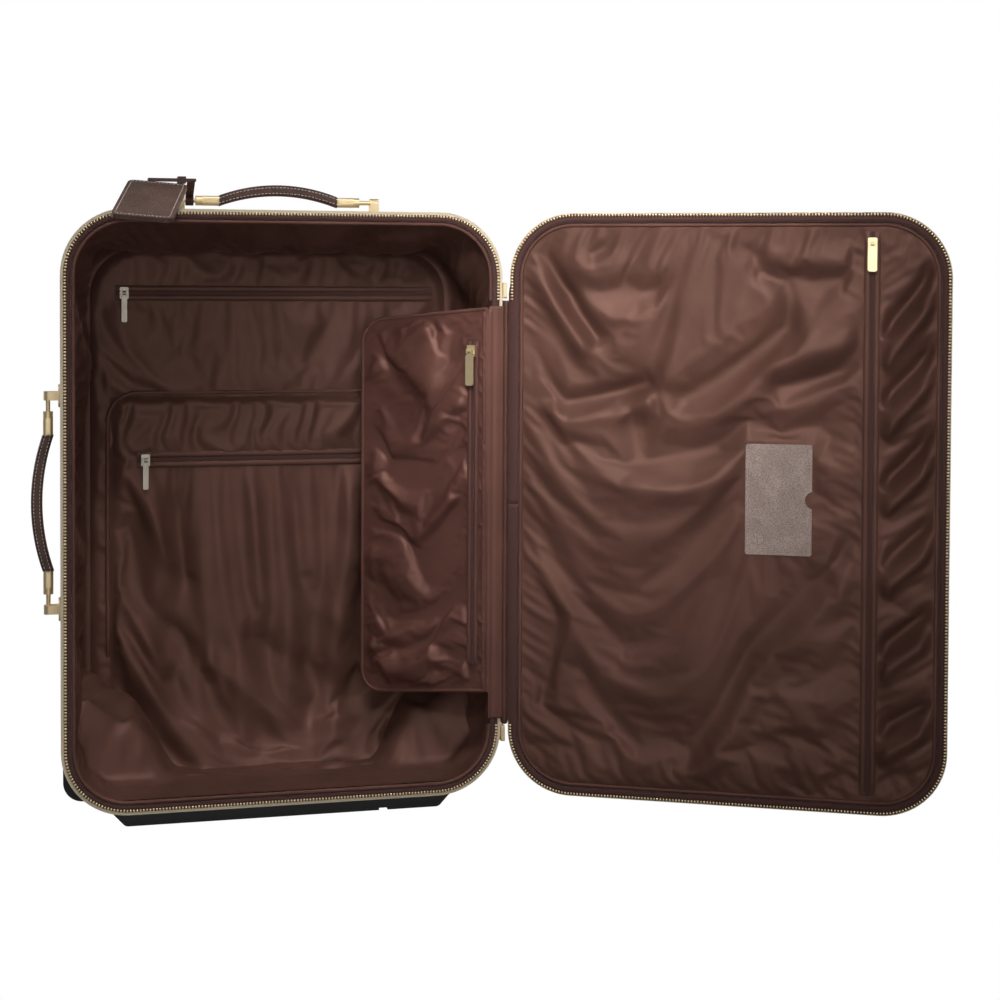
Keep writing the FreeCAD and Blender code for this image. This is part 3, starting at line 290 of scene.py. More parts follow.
def tape(name, dark, light):
    """Woven tape with a fine rib across it."""
    finish = Finish(name, Sheen_Weight=0.25, Specular_IOR_Level=0.25)
    thread = woven(finish, 0.8)
    cloud = finish.noise(14, 3.0)
    tone = finish.mix(cloud, colour(*dark), colour(*light))
    finish.set(Base_Color=finish.mix(thread * 0.3, tone, shaded(dark, 0.5)))
    finish.set(Roughness=cloud * 0.1 + 0.58)
    finish.bump(thread, 0.4, 0.25)
    return finish.material


LINING = satin("lining_satin", (80, 54, 46), (93, 64, 55))
POUCH_SATIN = satin("pouch_satin", (82, 52, 46), (96, 62, 55), 0.4, 0.9)
PIPING = satin("piping_satin", (94, 63, 56), (108, 74, 66), 0.5, 0.4)
TAPE = tape("zip_tape", (72, 42, 38), (84, 51, 45))
COIL = tape("zip_coil", (40, 26, 23), (50, 33, 29))
LEATHER = leather("brown_leather", (80, 52, 45), (97, 65, 57))
# Leather painted lighter and greyer than the handles': painted sheen for the light on the luggage tag.
TAG_LEATHER_PAINTED_SHEEN = leather("tag_leather", (100, 72, 62), (118, 88, 77))
CARD = leather("card_leather", (155, 134, 125), (176, 153, 144), 0.9, 0.5)
THREAD = tape("white_thread", (214, 206, 196), (232, 226, 216))
BROWN_THREAD = tape("brown_thread", (78, 54, 48), (92, 66, 58))
TAUPE_THREAD = tape("taupe_thread", (150, 134, 122), (168, 152, 140))
GOLD = metal("light_gold", (236, 215, 174), 0.46)
TEETH = metal("zip_teeth_gold", (232, 210, 172), 0.3)
# The gold painted darker and greyer: painted shade for the pocket zips' pulls and sliders, which sit in the shade
# inside the case.
POCKET_GOLD_PAINTED_SHADE = metal("pocket_gold_painted_shade", (150, 143, 132), 0.42)
STEEL = metal("plain_steel", (176, 176, 178), 0.3)
TUBE = metal("drawn_tube", (196, 197, 200), 0.32, 0.2)
BLACK = moulded("black_moulding", (22, 22, 23))
RUBBER = moulded("black_rubber", (26, 26, 26), 0.8, 0.5)
BOARD = moulded("grey_board", (70, 68, 66), 0.8, 1.2)
CANVAS = canvas("cream_canvas", (220, 205, 178), (211, 194, 166))

SLOT_FINISH = {
    "canvas": CANVAS, "zip_tape": TAPE, "zip_teeth": TEETH, "lining": LINING, "piping": PIPING,
    "leather": LEATHER, "card_leather": CARD, "gold_metal": GOLD, "black_plastic": BLACK, "tyre": RUBBER,
    "tube_metal": TUBE, "steel": STEEL, "board": BOARD,
}
# The tag takes leather with painted sheen; the pocket zips' pulls and sliders take gold with painted shade.
NODE_FINISH = {
    "luggage_tag": TAG_LEATHER_PAINTED_SHEEN, "upper_pocket_slider": POCKET_GOLD_PAINTED_SHADE, "upper_pocket_pull": POCKET_GOLD_PAINTED_SHADE,
    "lower_pocket_slider": POCKET_GOLD_PAINTED_SHADE, "lower_pocket_pull": POCKET_GOLD_PAINTED_SHADE,
}
for row in frame["record"]["subparts"]:
    mesh = nodes[row["node"]].data
    mesh.materials.clear()
    mesh.materials.append(NODE_FINISH.get(row["node"], SLOT_FINISH[row["material_slot"]]))


# Drawing helpers for soft goods
PHASES = 6.28
ARC_POINTS = 13


def wave(along, spans, seed):
    """Gentle irregular ripple from -1 to 1 along a length, out of a few wavelengths."""
    dice = random.Random(seed)
    total = np.zeros_like(along)
    for span in spans:
        total += np.sin(along * 2 * math.pi / span + dice.uniform(0, PHASES)) * dice.uniform(0.5, 1.0)
    return total / len(spans)


def smooth(value, low, high):
    """A soft step from 0 at low to 1 at high."""
    share = np.clip((value - low) / (high - low), 0, 1)
    return share * share * (3 - 2 * share)


def fade(distance, reach):
    """1 up to a line and less and less beyond it."""
    return np.exp(-np.maximum(distance, 0) / reach)


def between(low, high, share):
    return low + share * (high - low)


def along_points(points, share):
    """Both coordinates at a share of the way through a list of points, each step counting the same."""
    step = share * (len(points) - 1)
    return (np.interp(step, np.arange(len(points)), points[:, column]) for column in range(2))


def depth_inside(x, y, edges):
    """How far a point lies inside a round-cornered frame."""
    left, low, right, high, radius = edges
    over_x = np.abs(x - (left + right) / 2) - ((right - left) / 2 - radius)
    over_y = np.abs(y - (low + high) / 2) - ((high - low) / 2 - radius)
    outside = np.hypot(np.maximum(over_x, 0), np.maximum(over_y, 0))
    return radius - outside - np.minimum(np.maximum(over_x, over_y), 0)


def pulled_in(x, y, edges):
    """Moves points that lie outside a round-cornered frame onto its edge."""
    left, low, right, high, radius = edges
    near_x, near_y = np.clip(x, left + radius, right - radius), np.clip(y, low + radius, high - radius)
    share = np.minimum(1, radius / np.maximum(np.hypot(x - near_x, y - near_y), 0.001))
    return near_x + (x - near_x) * share, near_y + (y - near_y) * share


def loop(edges, shares):
    """Points, outward directions and length of the way round a frame, from the middle of its right side."""
    left, low, right, high, radius = edges
    spots = [(right, (low + high) / 2, 0.0)]
    corners = ((right, high, -1, -1), (left, high, 1, -1), (left, low, 1, 1), (right, low, -1, 1))
    for quarter, (x, y, to_x, to_y) in enumerate(corners):
        centre_x, centre_y = x + to_x * radius, y + to_y * radius
        for angle in np.linspace(quarter, quarter + 1, ARC_POINTS) * math.pi / 2:
            spots.append((centre_x + radius * math.cos(angle), centre_y + radius * math.sin(angle), angle))
    spots.append((right, (low + high) / 2, 2 * math.pi))
    spots = np.array(spots)
    steps = np.hypot(np.diff(spots[:, 0]), np.diff(spots[:, 1]))
    length = np.concatenate(([0], np.cumsum(steps)))
    at = (shares % 1.0) * length[-1]
    x, y, angle = (np.interp(at, length, spots[:, column]) for column in range(3))
    return x, y, np.cos(angle), np.sin(angle), length[-1]


def way_round(edges):
    return loop(edges, np.zeros(1))[4]


def folds(x, y, *lines):
    """Adds up given folds: each a bent line with its height and half width."""
    height = np.zeros_like(x)
    for rise, half_width, *points in lines:
        nearest = np.full_like(x, np.inf)
        for (x0, y0), (x1, y1) in zip(points, points[1:]):
            run = (x1 - x0) ** 2 + (y1 - y0) ** 2
            share = np.clip(((x - x0) * (x1 - x0) + (y - y0) * (y1 - y0)) / run, 0, 1)
            nearest = np.minimum(nearest, np.hypot(x - x0 - share * (x1 - x0), y - y0 - share * (y1 - y0)))
        height += rise * np.exp(-(nearest / half_width) ** 2)
    return height


def pick(piece):
    """Makes a piece the active one and the only one selected."""
    bpy.ops.object.select_all(action="DESELECT")
    piece.select_set(True)
    bpy.context.view_layer.objects.active = piece


def finish_piece(piece, name, finish, place):
    """Names a piece that is drawn flat in millimetres, puts it in its place and paints it."""
    piece.name = name
    piece.data.transform(place @ Matrix.Scale(MM, 4))
    piece.data.materials.append(finish)
    pick(piece)
    bpy.ops.object.shade_smooth()
    return piece


def dress(piece, body, slot, *stands_for):
    """Hangs a piece on a body and hides the CAD nodes that it stands for. The slot is not used."""
    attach(piece, body)
    if stands_for:
        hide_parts(*stands_for)


def apply_all(piece):
    pick(piece)
    for modifier in list(piece.modifiers):
        bpy.ops.object.modifier_apply(modifier=modifier.name)


def patch(name, columns, rows, shape, finish, place, sewn=None, cut=None):
    """A cloth grid. Rules of two shares give its flat place, what is sewn down and what is cut off."""
    bpy.ops.mesh.primitive_grid_add(x_subdivisions=columns, y_subdivisions=rows, size=1)
    piece = bpy.context.object
    mesh = piece.data
    spots = np.empty(len(mesh.vertices) * 3)
    mesh.vertices.foreach_get("co", spots)
    share = spots.reshape(-1, 3)[:, :2] + 0.5
    where = np.stack(shape(share[:, 0], share[:, 1]), 1)
    mesh.vertices.foreach_set("co", where.ravel())
    if sewn is not None:
        held = np.flatnonzero(sewn(where[:, 0], where[:, 1], share[:, 1]))
        piece.vertex_groups.new(name="sewn").add(held.tolist(), 1.0, "REPLACE")
    if cut is not None:
        remove(piece, cut(where[:, 0], where[:, 1]))
    return finish_piece(piece, name, finish, place)


def remove(piece, unwanted):
    """Deletes the vertices that a list of true and false picks."""
    pick(piece)
    bpy.ops.object.mode_set(mode="EDIT")
    bpy.ops.mesh.select_all(action="DESELECT")
    bpy.ops.object.mode_set(mode="OBJECT")
    piece.data.vertices.foreach_set("select", np.asarray(unwanted, dtype=bool))
    bpy.ops.object.mode_set(mode="EDIT")
    bpy.ops.mesh.delete(type="VERT")
    bpy.ops.object.mode_set(mode="OBJECT")


def weld(piece, gap=0.3):
    """Joins the edges of a piece that meet."""
    pick(piece)
    bpy.ops.object.mode_set(mode="EDIT")
    bpy.ops.mesh.select_all(action="SELECT")
    bpy.ops.mesh.remove_doubles(threshold=gap * MM)
    bpy.ops.object.mode_set(mode="OBJECT")


def thicken(piece, thickness):
    """Gives a cloth piece its thickness."""
    adjust(piece.modifiers.new("thickness", "SOLIDIFY"), thickness=thickness * MM, offset=-1)
    apply_all(piece)


# Cloth that is simulated: all loose pieces settle together
SETTLE_FRAMES = 24
CLOTH = {
    "quality": 6, "mass": 0.06, "tension_stiffness": 20, "compression_stiffness": 20, "shear_stiffness": 4,
    "tension_damping": 8, "compression_damping": 8, "shear_damping": 8, "air_damping": 3, "pin_stiffness": 1,
    "vertex_group_mass": "sewn",
}
loose = []


def make_cloth(piece, spare, gravity, push=0.0, bend=0.06):
    """Gives a sewn piece spare cloth to pucker with."""
    modifier = piece.modifiers.new("cloth", "CLOTH")
    settings = adjust(
        modifier.settings, **CLOTH, bending_stiffness=bend, shrink_min=-spare, use_pressure=push != 0,
        uniform_pressure_force=push)
    settings.effector_weights.gravity = gravity
    modifier.collision_settings.use_collision = False
    modifier.point_cache.frame_end = SETTLE_FRAMES
    loose.append(piece)


def settle_cloth():
    """Lets every loose piece find its folds, then keeps the result and smooths it."""
    for step in range(1, SETTLE_FRAMES + 1):
        scene.frame_set(step)
    for piece in loose:
        adjust(piece.modifiers.new("finer", "SUBSURF"), levels=1, render_levels=1)
        apply_all(piece)


# Strips, beads and cords along a path
RIBBON_PITCH = 4.0
TAPE_WRAP = 1.8


def ribbon(name, edges, start, end, profile, finish, place, pressed=None):
    """A strip with the given cross-section, laid along a stretch of a round-cornered frame.

    A rule of the flat place says where it is pressed flat and wraps the edge, from 0 to 1.
    """
    length = way_round(edges)
    columns = int((end - start) * length / RIBBON_PITCH)
    across = np.array(profile)

    def shape(along, over):
        x, y, out_x, out_y, _ = loop(edges, between(start, end, along))
        aside, rise = along_points(across, over)
        ease = wave(along * length, (90, 37, 23), name) * 0.35
        if pressed is not None:
            flat = pressed(x, y)
            ease = ease * (1 - flat)
            rise = rise - np.maximum(rise - across[1, 1], 0) * flat
            aside = aside - TAPE_WRAP * flat * np.clip(1 - aside / across[-1, 0], 0, 1)
        return x - out_x * (aside + ease), y - out_y * (aside + ease), rise + ease * 0.6

    return patch(name, columns, len(across) - 1, shape, finish, place)


def path_curve(points, closed):
    bpy.ops.object.add(type="CURVE")
    path = bpy.context.object
    adjust(path.data, dimensions="3D", twist_mode="Z_UP")
    spline = path.data.splines.new("POLY")
    spline.points.add(len(points) - 1)
    for point, spot in zip(spline.points, points):
        point.co = (*spot, 1)
    spline.use_cyclic_u = closed
    return path


def beads(name, points, size, pitch, finish, place, closed=False):
    """Small rounded blocks strung along a path, such as stitches or zip teeth."""
    path = path_curve(points, closed)
    spots = list(points) + ([points[0]] if closed else [])
    length = sum(math.dist(one, two) for one, two in zip(spots, spots[1:]))
    bpy.ops.mesh.primitive_cube_add(size=1)
    bead = adjust(bpy.context.object, scale=size, location=(pitch / 2, 0, 0))
    bpy.ops.object.transform_apply(location=True, rotation=False, scale=True)
    count = max(1, int(length / pitch))
    adjust(bead.modifiers.new("edge", "BEVEL"), width=min(size) * 0.3, segments=1)
    adjust(
        bead.modifiers.new("row", "ARRAY"), count=count, use_relative_offset=False,
        use_constant_offset=True, constant_offset_displace=(length / count, 0, 0))
    adjust(bead.modifiers.new("follow", "CURVE"), object=path)
    apply_all(bead)
    bpy.data.objects.remove(path)
    return finish_piece(bead, name, finish, place)


def bead_cord(name, points, radius, finish, place, closed=False, lumps=0.0):
    """A round cord along a path, a little lumpy where it is gathered."""
    path = path_curve(points, closed)
    adjust(path.data, bevel_depth=radius, bevel_resolution=2, use_fill_caps=True)
    along = np.cumsum([0] + [math.dist(one, two) for one, two in zip(points, points[1:])])
    swell = 1 + lumps * wave(along, (31, 13, 7.3), name)
    for point, scale in zip(path.data.splines[0].points, swell):
        point.radius = scale
    pick(path)
    bpy.ops.object.convert(target="MESH")
    return finish_piece(bpy.context.object, name, finish, place)


def frame_points(edges, inset, level, start=0.0, end=1.0, pitch=3.0):
    """Points along a stretch of a round-cornered frame, moved inwards and set at one level."""
    shares = np.linspace(start, end, int((end - start) * way_round(edges) / pitch) + 1)
    if end - start == 1.0:
        shares = shares[:-1]
    x, y, out_x, out_y, _ = loop(edges, shares)
    return [(float(a), float(b), level) for a, b in zip(x - out_x * inset, y - out_y * inset)]


# Mouth trim of the case and the lid. Insets count inwards from the mouth's edge, the teeth's from the tape's
# outer edge.
CASE_FRAME = (LEFT, LOW, RIGHT, HIGH, CORNER)
LID_FRAME = (LID_LEFT, LOW, LID_RIGHT, HIGH, CORNER)
ROUND = way_round(CASE_FRAME)
HINGE_START = (gusset_high - MIDDLE) / ROUND
HINGE_END = 1 - (MIDDLE - gusset_low) / ROUND
TAPE_CROWN = ((0.0, -0.8), (0.3, 0.4), (2.6, 0.2), (3.2, 0.8), (5.4, 1.3), (7.8, 0.9), (9.6, -1.2))
TAPE_EDGE = TAPE_CROWN[-1][0]
TAPE_THICK = 0.5
PIPING_INSET = 10.9
PIPING_SINK = 0.4
PIPING_RADIUS = 1.7
TOOTH = (1.8, 2.6, 1.5)
TOOTH_PITCH = 2.8
TOOTH_INSET = 1.5
TOOTH_LIFT = 0.9
TAPE_STITCH = (2.3, 0.55, 0.5)
TAPE_STITCH_PITCH = 3.4
TAPE_STITCH_INSET = 8.4
TAPE_STITCH_LIFT = 1.0
HINGE_BAND = 14


def along_hinge(x, y):
    """Where the lid's mouth runs beside the hinge, from 0 to 1."""
    within = (gusset_high - gusset_low) / 2 - np.abs(y - MIDDLE)
    return smooth(LID_LEFT + HINGE_BAND - x, 0, 5) * smooth(within, -8, 0)


def mouth_trim(prefix, edges, rim_level, place, opening, bare, pressed=None):
    """Crowned tape with its metal teeth, and the satin piping beside it, inside a bare edge of canvas."""
    whole = opening != 0
    start, end = HINGE_START, HINGE_END
    if whole:
        start, end = opening + 1 - HINGE_END, opening + 1 - HINGE_START
    crown = [(aside + bare * (1 - aside / TAPE_EDGE), rise + rim_level) for aside, rise in TAPE_CROWN]
    tape_piece = ribbon(
        prefix + "_tape_ribbon", edges, opening, opening + 1, crown, TAPE, place, pressed)
    thicken(tape_piece, TAPE_THICK)
    teeth_path = frame_points(edges, bare + TOOTH_INSET, rim_level + TOOTH_LIFT, start, end)
    teeth = beads(prefix + "_teeth", teeth_path, TOOTH, TOOTH_PITCH, TEETH, place)
    piping_stretch = (0.0, 1.0) if whole else (start, end)
    piping_path = frame_points(edges, PIPING_INSET, rim_level - PIPING_SINK, *piping_stretch, pitch=2.5)
    piping = bead_cord(prefix + "_cord", piping_path, PIPING_RADIUS, PIPING, place, closed=whole, lumps=0.10)
    stitch_path = frame_points(
        edges, TAPE_STITCH_INSET, rim_level + TAPE_STITCH_LIFT, opening, opening + 1)
    stitches = beads(
        prefix + "_tape_stitches", stitch_path, TAPE_STITCH, TAPE_STITCH_PITCH, BROWN_THREAD, place)
    dress(tape_piece, prefix, "zip_tape", prefix + "_zip_tape")
    dress(teeth, prefix, "zip_teeth", prefix + "_zip_teeth")
    dress(piping, prefix, "piping", prefix + "_piping")
    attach(stitches, prefix)
    ROUND * MM


mouth_trim("case", CASE_FRAME, -RIM, CASE, 0.0, 2.4)
mouth_trim("lid", LID_FRAME, -LID_RIM, LID, 0.5, 0.6, along_hinge)

# Zip pockets: two folded lips with a dark coil between them
COIL_LINK = (0.9, 2.3, 0.9)
COIL_PITCH = 1.6
COIL_LIFT = 0.25
LIP_RISE = 1.5
LIP_STITCH = (2.0, 0.5, 0.5)
LIP_STITCH_PITCH = 3.0
LIP_STITCH_LIFT = 1.15
LIP_STITCH_SHARE = 0.72


def zip_welt(prefix, body, line, level, place, cloth=LINING, gap=1.1, lip=6.0):
    """Lips, stitching and coil of a pocket zip along a straight line."""
    (x0, y0), (x1, y1) = line
    run = math.dist(*line)
    along_x, along_y = (x1 - x0) / run, (y1 - y0) / run

    def beside(at, aside):
        return x0 + along_x * at - along_y * aside, y0 + along_y * at + along_x * aside

    pieces = []
    for side in (-1, 1):
        name = "%s_lip_%s" % (prefix, "low" if side < 0 else "high")

        def shape(along, over):
            aside = side * (gap + lip * (1 - over if side > 0 else over))
            rise = LIP_RISE * np.sin(over * math.pi) ** 0.6
            ease = wave(along * run, (61, 24, 11), name)
            taper = smooth(along, 0, 0.02) * smooth(1 - along, 0, 0.02)
            return *beside(along * run, aside + ease * 0.3), level + (rise + ease * 0.25) * taper

        pieces.append(patch(name, int(run / 4), 6, shape, cloth, place))
        aside = side * (gap + lip * LIP_STITCH_SHARE)
        stops = np.linspace(2, run - 2, int(run / 8))
        points = [(*beside(at, aside), level + LIP_STITCH_LIFT) for at in stops]
        pieces.append(beads(name + "_stitches", points, LIP_STITCH, LIP_STITCH_PITCH, BROWN_THREAD, place))
    points = [(*end, level + COIL_LIFT) for end in line]
    pieces.append(beads(prefix + "_coil", points, COIL_LINK, COIL_PITCH, COIL, place))
    for piece in pieces:
        dress(piece, body, "zip_tape")


def flat_box(node, place):
    """The lower left and upper right corner of a CAD piece as seen in a flat frame, in millimetres."""
    inverse = place.inverted() @ nodes[node].matrix_world
    spots = np.array([inverse @ vertex.co for vertex in nodes[node].data.vertices]) / MM
    return [float(value) for value in (*spots.min(0)[:2], *spots.max(0)[:2])]


def zip_line(node, place):
    """The two ends of a straight zip along the middle of its strip."""
    left, low, right, high = flat_box(node, place)
    if right - left > high - low:
        return (left, (low + high) / 2), (right, (low + high) / 2)
    return ((left + right) / 2, low), ((left + right) / 2, high)


UPPER_ZIP = zip_line("upper_pocket_zip", CASE)
LOWER_ZIP = zip_line("lower_pocket_zip", CASE)
LID_ZIP = zip_line("lid_pocket_zip", LID)
POUCH_ZIP = zip_line("pouch_zip", POUCH)

# Lining of the lid. A fold is its height, its half width and the points of its line.
LID_SEAM = 12.6
LID_FACE = -2.6
CARD_FRAME = (*flat_box("card_holder", LID), 2.0)
lid_zip_x = LID_ZIP[0][0]
LID_FOLDS = (
    (4.4, 62, (30, 306), (118, 272), (190, 250)),
    (-8.0, 8, (24, 515), (82, 431)), (6.4, 11, (12, 505), (70, 424)),
    (-7.0, 8, (21, 407), (53, 371), (128, 391)), (7.0, 11, (21, 390), (55, 353), (128, 373)),
    (-7.0, 14, (163, 380), (250, 443)), (6.4, 15, (150, 398), (236, 462)),
    (-6.6, 10, (247, 389), (315, 407)), (5.4, 12, (240, 408), (306, 428)),
    (-5.4, 16, (112, 369), (129, 326), (279, 344)), (5.0, 15, (122, 300), (270, 312)),
    (-4.6, 12, (66, 475), (135, 474)), (4.0, 12, (70, 494), (140, 492)),
    (-4.0, 7, (79, 505), (116, 529)), (-4.0, 8, (184, 525), (226, 503)),
    (-3.6, 8, (229, 488), (299, 483)), (3.6, 11, (235, 505), (299, 499)),
    (-3.6, 10, (321, 261), (220, 156), (157, 30)), (3.6, 13, (330, 240), (240, 146), (176, 30)),
    (-4.4, 8, (18, 231), (48, 176), (35, 102)), (4.0, 9, (18, 250), (62, 178), (48, 96)),
    (-2.8, 9, (70, 130), (120, 60)), (2.8, 10, (250, 120), (300, 60)),
)

# Slanting folds of the strip beside the zip: height, and the levels at the strip's right and left side
STRIP_RIGHT, STRIP_LEFT = 384, 338
STRIP_GAIN = 2.3
STRIP_CREASES = (
    (-5.0, 500, 440), (4.6, 476, 412), (-4.8, 430, 380), (4.6, 408, 352), (-4.8, 356, 306), (4.4, 330, 284),
    (-4.4, 280, 236), (4.2, 256, 214), (-4.0, 200, 160), (3.8, 176, 140), (-3.6, 120, 90), (3.4, 98, 66),
)
STRIP_FOLDS = tuple(
    (rise, 7 if rise < 0 else 8, (STRIP_RIGHT, right), (STRIP_LEFT, left))
    for rise, right, left in STRIP_CREASES)


def lid_cloth():
    """The lid's lining, puckered at its seams and zip, and flat under the card holder."""
    edges = (LID_LEFT + SEAM, LOW + SEAM, LID_RIGHT - SEAM, HIGH - SEAM, CORNER - SEAM)

    def shape(along, over):
        x = between(edges[0], edges[2], along)
        y = between(edges[1], edges[3], over)
        deep = depth_inside(x, y, LID_FRAME) - LID_SEAM
        strip = x > lid_zip_x
        inside = smooth(deep, 0, np.where(strip, 12, 34))
        beside = np.abs(x - lid_zip_x) - 7
        clear = smooth(beside, 0, np.where(strip, 9, 19))
        sides = np.minimum(x - LID_LEFT, LID_RIGHT - x) - LID_SEAM
        ends = np.minimum(y - LOW, HIGH - y) - LID_SEAM
        puckers = wave(y + sides * 0.6, (23, 16, 11), 21) * fade(sides, 13)
        puckers += wave(x + ends * 0.4, (27, 17, 12), 22) * fade(ends, 15)
        puckers += wave(y - beside * 0.5, (21, 14, 10), 23) * fade(beside, 10) * 0.7
        puckers *= smooth(deep, 0, 9) * smooth(beside, 0, 5) * 2.4
        card = smooth(depth_inside(x, y, CARD_FRAME), -26, 1)
        z = folds(x, y, *LID_FOLDS, *STRIP_FOLDS)
        rough = wave(x + y * 0.6, (47, 29, 19), 1) * wave(y - x * 0.4, (53, 33, 17), 2)
        z = (z * np.where(strip, STRIP_GAIN, 1) + rough * 0.5) * inside * clear
        return x, y, LID_FACE + (z + puckers) * (1 - card)

    def sewn(x, y, over):
        seam = depth_inside(x, y, LID_FRAME) < LID_SEAM
        zip_band = np.abs(x - lid_zip_x) < 5.5
        return seam | zip_band | (depth_inside(x, y, CARD_FRAME) > 0)

    def cut(x, y):
        return depth_inside(x, y, edges) < -1

    piece = patch("lid_lining", 124, 168, shape, LINING, LID, sewn, cut)
    make_cloth(piece, 0.014, 0.1, push=0.1, bend=0.6)
    dress(piece, "lid", "lining", "lid_panels")
    return piece


# Lining of the case: walls and floor, back panel and lower pocket
PANEL = -100.7
REAR = -105.0
POCKET_FACE = -92.6
POCKET = (-150.0, 80.0, 150.0, 372.0, 25.0)
FLOOR_RISE = 13.0
FLOOR = LOW + FLOOR_RISE
WALL_SHARE = 0.78
WHEEL_BOX_IN = 132.0
WHEEL_BOX_TOP = 76.0
WHEEL_BOX_DEEP = 57.0


def over_wheels(x, z):
    """The least height of the cloth where it falls over the wheel boxes."""
    wide, deep = np.abs(x), -z
    box = smooth(wide, WHEEL_BOX_IN - 46, WHEEL_BOX_IN) * smooth(deep, WHEEL_BOX_DEEP - 34, WHEEL_BOX_DEEP)
    slack = 26 * smooth(wide, WHEEL_BOX_IN, LEFT * -0.94) + 18 * smooth(deep, WHEEL_BOX_DEEP, -REAR)
    crease = wave(wide + deep * 0.7, (31, 19), 24) * 3.0
    return FLOOR + (WHEEL_BOX_TOP + slack + crease - FLOOR) * box


def tray_cloth():
    """Walls and floor in one strip, which runs on behind the back panel."""
    front_edges = (LEFT + SEAM, LOW + SEAM, RIGHT - SEAM, HIGH - SEAM, CORNER - SEAM)
    rear_edges = (LEFT + 20, LOW + 14, RIGHT - 20, HIGH - 33, 40.0)
    hidden_edges = (LEFT + 58, LOW + 52, RIGHT - 58, HIGH - 71, 12.0)
    front = -RIM - 1.5

    def shape(along, over):
        x0, y0, out_x, out_y, length = loop(front_edges, along)
        x1, y1, _, _, _ = loop(rear_edges, along)
        x2, y2, _, _, _ = loop(hidden_edges, along)
        rest = 1 / WALL_SHARE - 1
        behind = np.clip(over / WALL_SHARE - 1, 0, rest) / rest
        over = np.clip(over / WALL_SHARE, 0, 1)
        z = between(front, REAR, over) - behind * 0.8
        inner = np.sin(over * math.pi) ** 0.7
        ripple = wave(along * length, (83, 51, 37, 29), 3)
        ripple = ripple + wave(along * length + over * 60, (31, 23, 17), 4) * 0.7
        sink = 3.0 * ripple * inner * (1 - smooth(-y0, -70, -20) * 0.6)
        x = between(x0, x1, over) + (x2 - x1) * behind - out_x * sink
        y = between(y0, y1, over) + (y2 - y1) * behind - out_y * sink
        return x, np.maximum(y, over_wheels(x, z)), z

    def sewn(x, y, over):
        held = (y < FLOOR + 5) | ((y < WHEEL_BOX_TOP + 46) & (over > WALL_SHARE / 2))
        return held | (over < 0.02) | (over > WALL_SHARE - 0.02)

    piece = patch("case_lining_walls", 330, 34, shape, LINING, CASE, sewn)
    weld(piece)
    make_cloth(piece, 0.04, 0.25)
    dress(piece, "case", "lining", "case_lining")
    return piece


PANEL_FOLDS = (
    (2.4, 10, (-140, 452), (-60, 430), (40, 440)), (-2.2, 12, (-120, 420), (0, 408), (110, 424)),
    (2.0, 9, (-20, 455), (60, 436), (140, 448)), (2.2, 9, (-164, 400), (-150, 330)),
    (-2.2, 8, (-158, 300), (-156, 180)), (2.4, 9, (100, 500), (150, 480)),
)


def panel_cloth():
    """The back panel, gathered above its zip and set back behind the lower pocket."""
    edges = (LEFT + 27, FLOOR - 60, RIGHT - 27, HIGH - 31, 46.0)
    zip_y = UPPER_ZIP[0][1]
    foot = FLOOR + 1.5

    def shape(along, over):
        x, y = pulled_in(between(edges[0], edges[2], along), between(foot, edges[3], over), edges)
        deep = depth_inside(x, y, edges)
        roll = smooth(deep, 0, 9) ** 0.5
        clear = smooth(np.abs(y - zip_y), 6, 18) * smooth(deep, 6, 24)
        bunched = x + wave(y, (70,), 5) * 5 + wave(x, (113, 67), 32) * 12
        gathers = wave(bunched, (41, 27, 19), 6) * smooth(y, zip_y, zip_y + 16) * 1.3
        rough = wave(x + y * 0.5, (43, 27, 17), 7) * wave(y - x * 0.3, (39, 21), 8) * 0.6
        hidden = 3.0 * smooth(depth_inside(x, y, POCKET), 2, 12)
        puff = (folds(x, y, *PANEL_FOLDS) + gathers + rough) * clear
        return x, y, between(REAR, PANEL, roll) + puff - hidden

    def sewn(x, y, over):
        zip_band = (np.abs(y - zip_y) < 5) & (np.abs(x) < 165)
        return (depth_inside(x, y, edges) < 7) | zip_band | (depth_inside(x, y, POCKET) > 8) | (over < 0.02)

    piece = patch("case_back_panel", 92, 128, shape, LINING, CASE, sewn)
    weld(piece)
    make_cloth(piece, 0.012, 0.3, push=0.1, bend=0.3)
    dress(piece, "case", "lining")
    return piece


# Folds of the pocket: the levels of creases count down from its top, those of swags from its bend
POCKET_CREASES = (
    (5, 8, (-130, 70), (-95, 150)), (-5, 9, (-100, 66), (-80, 170)), (5, 10, (-20, 80), (-10, 190)),
    (-5, 11, (20, 66), (26, 170)), (5, 10, (70, 70), (84, 160)), (-5, 9, (110, 66), (118, 140)),
)
POCKET_SWAGS = (
    (9, 15, (-150, -30), (-90, 40), (-10, 75), (90, 60)), (-7, 13, (-150, 8), (-80, 72)),
    (8, 13, (-60, -10), (30, 48), (140, 30)), (-7, 12, (-20, -30), (70, 20), (150, 0)),
    (7, 12, (40, -60), (120, -10)), (6, 11, (-140, -70), (-100, -10)), (-6, 10, (-110, -60), (-60, 4)),
)


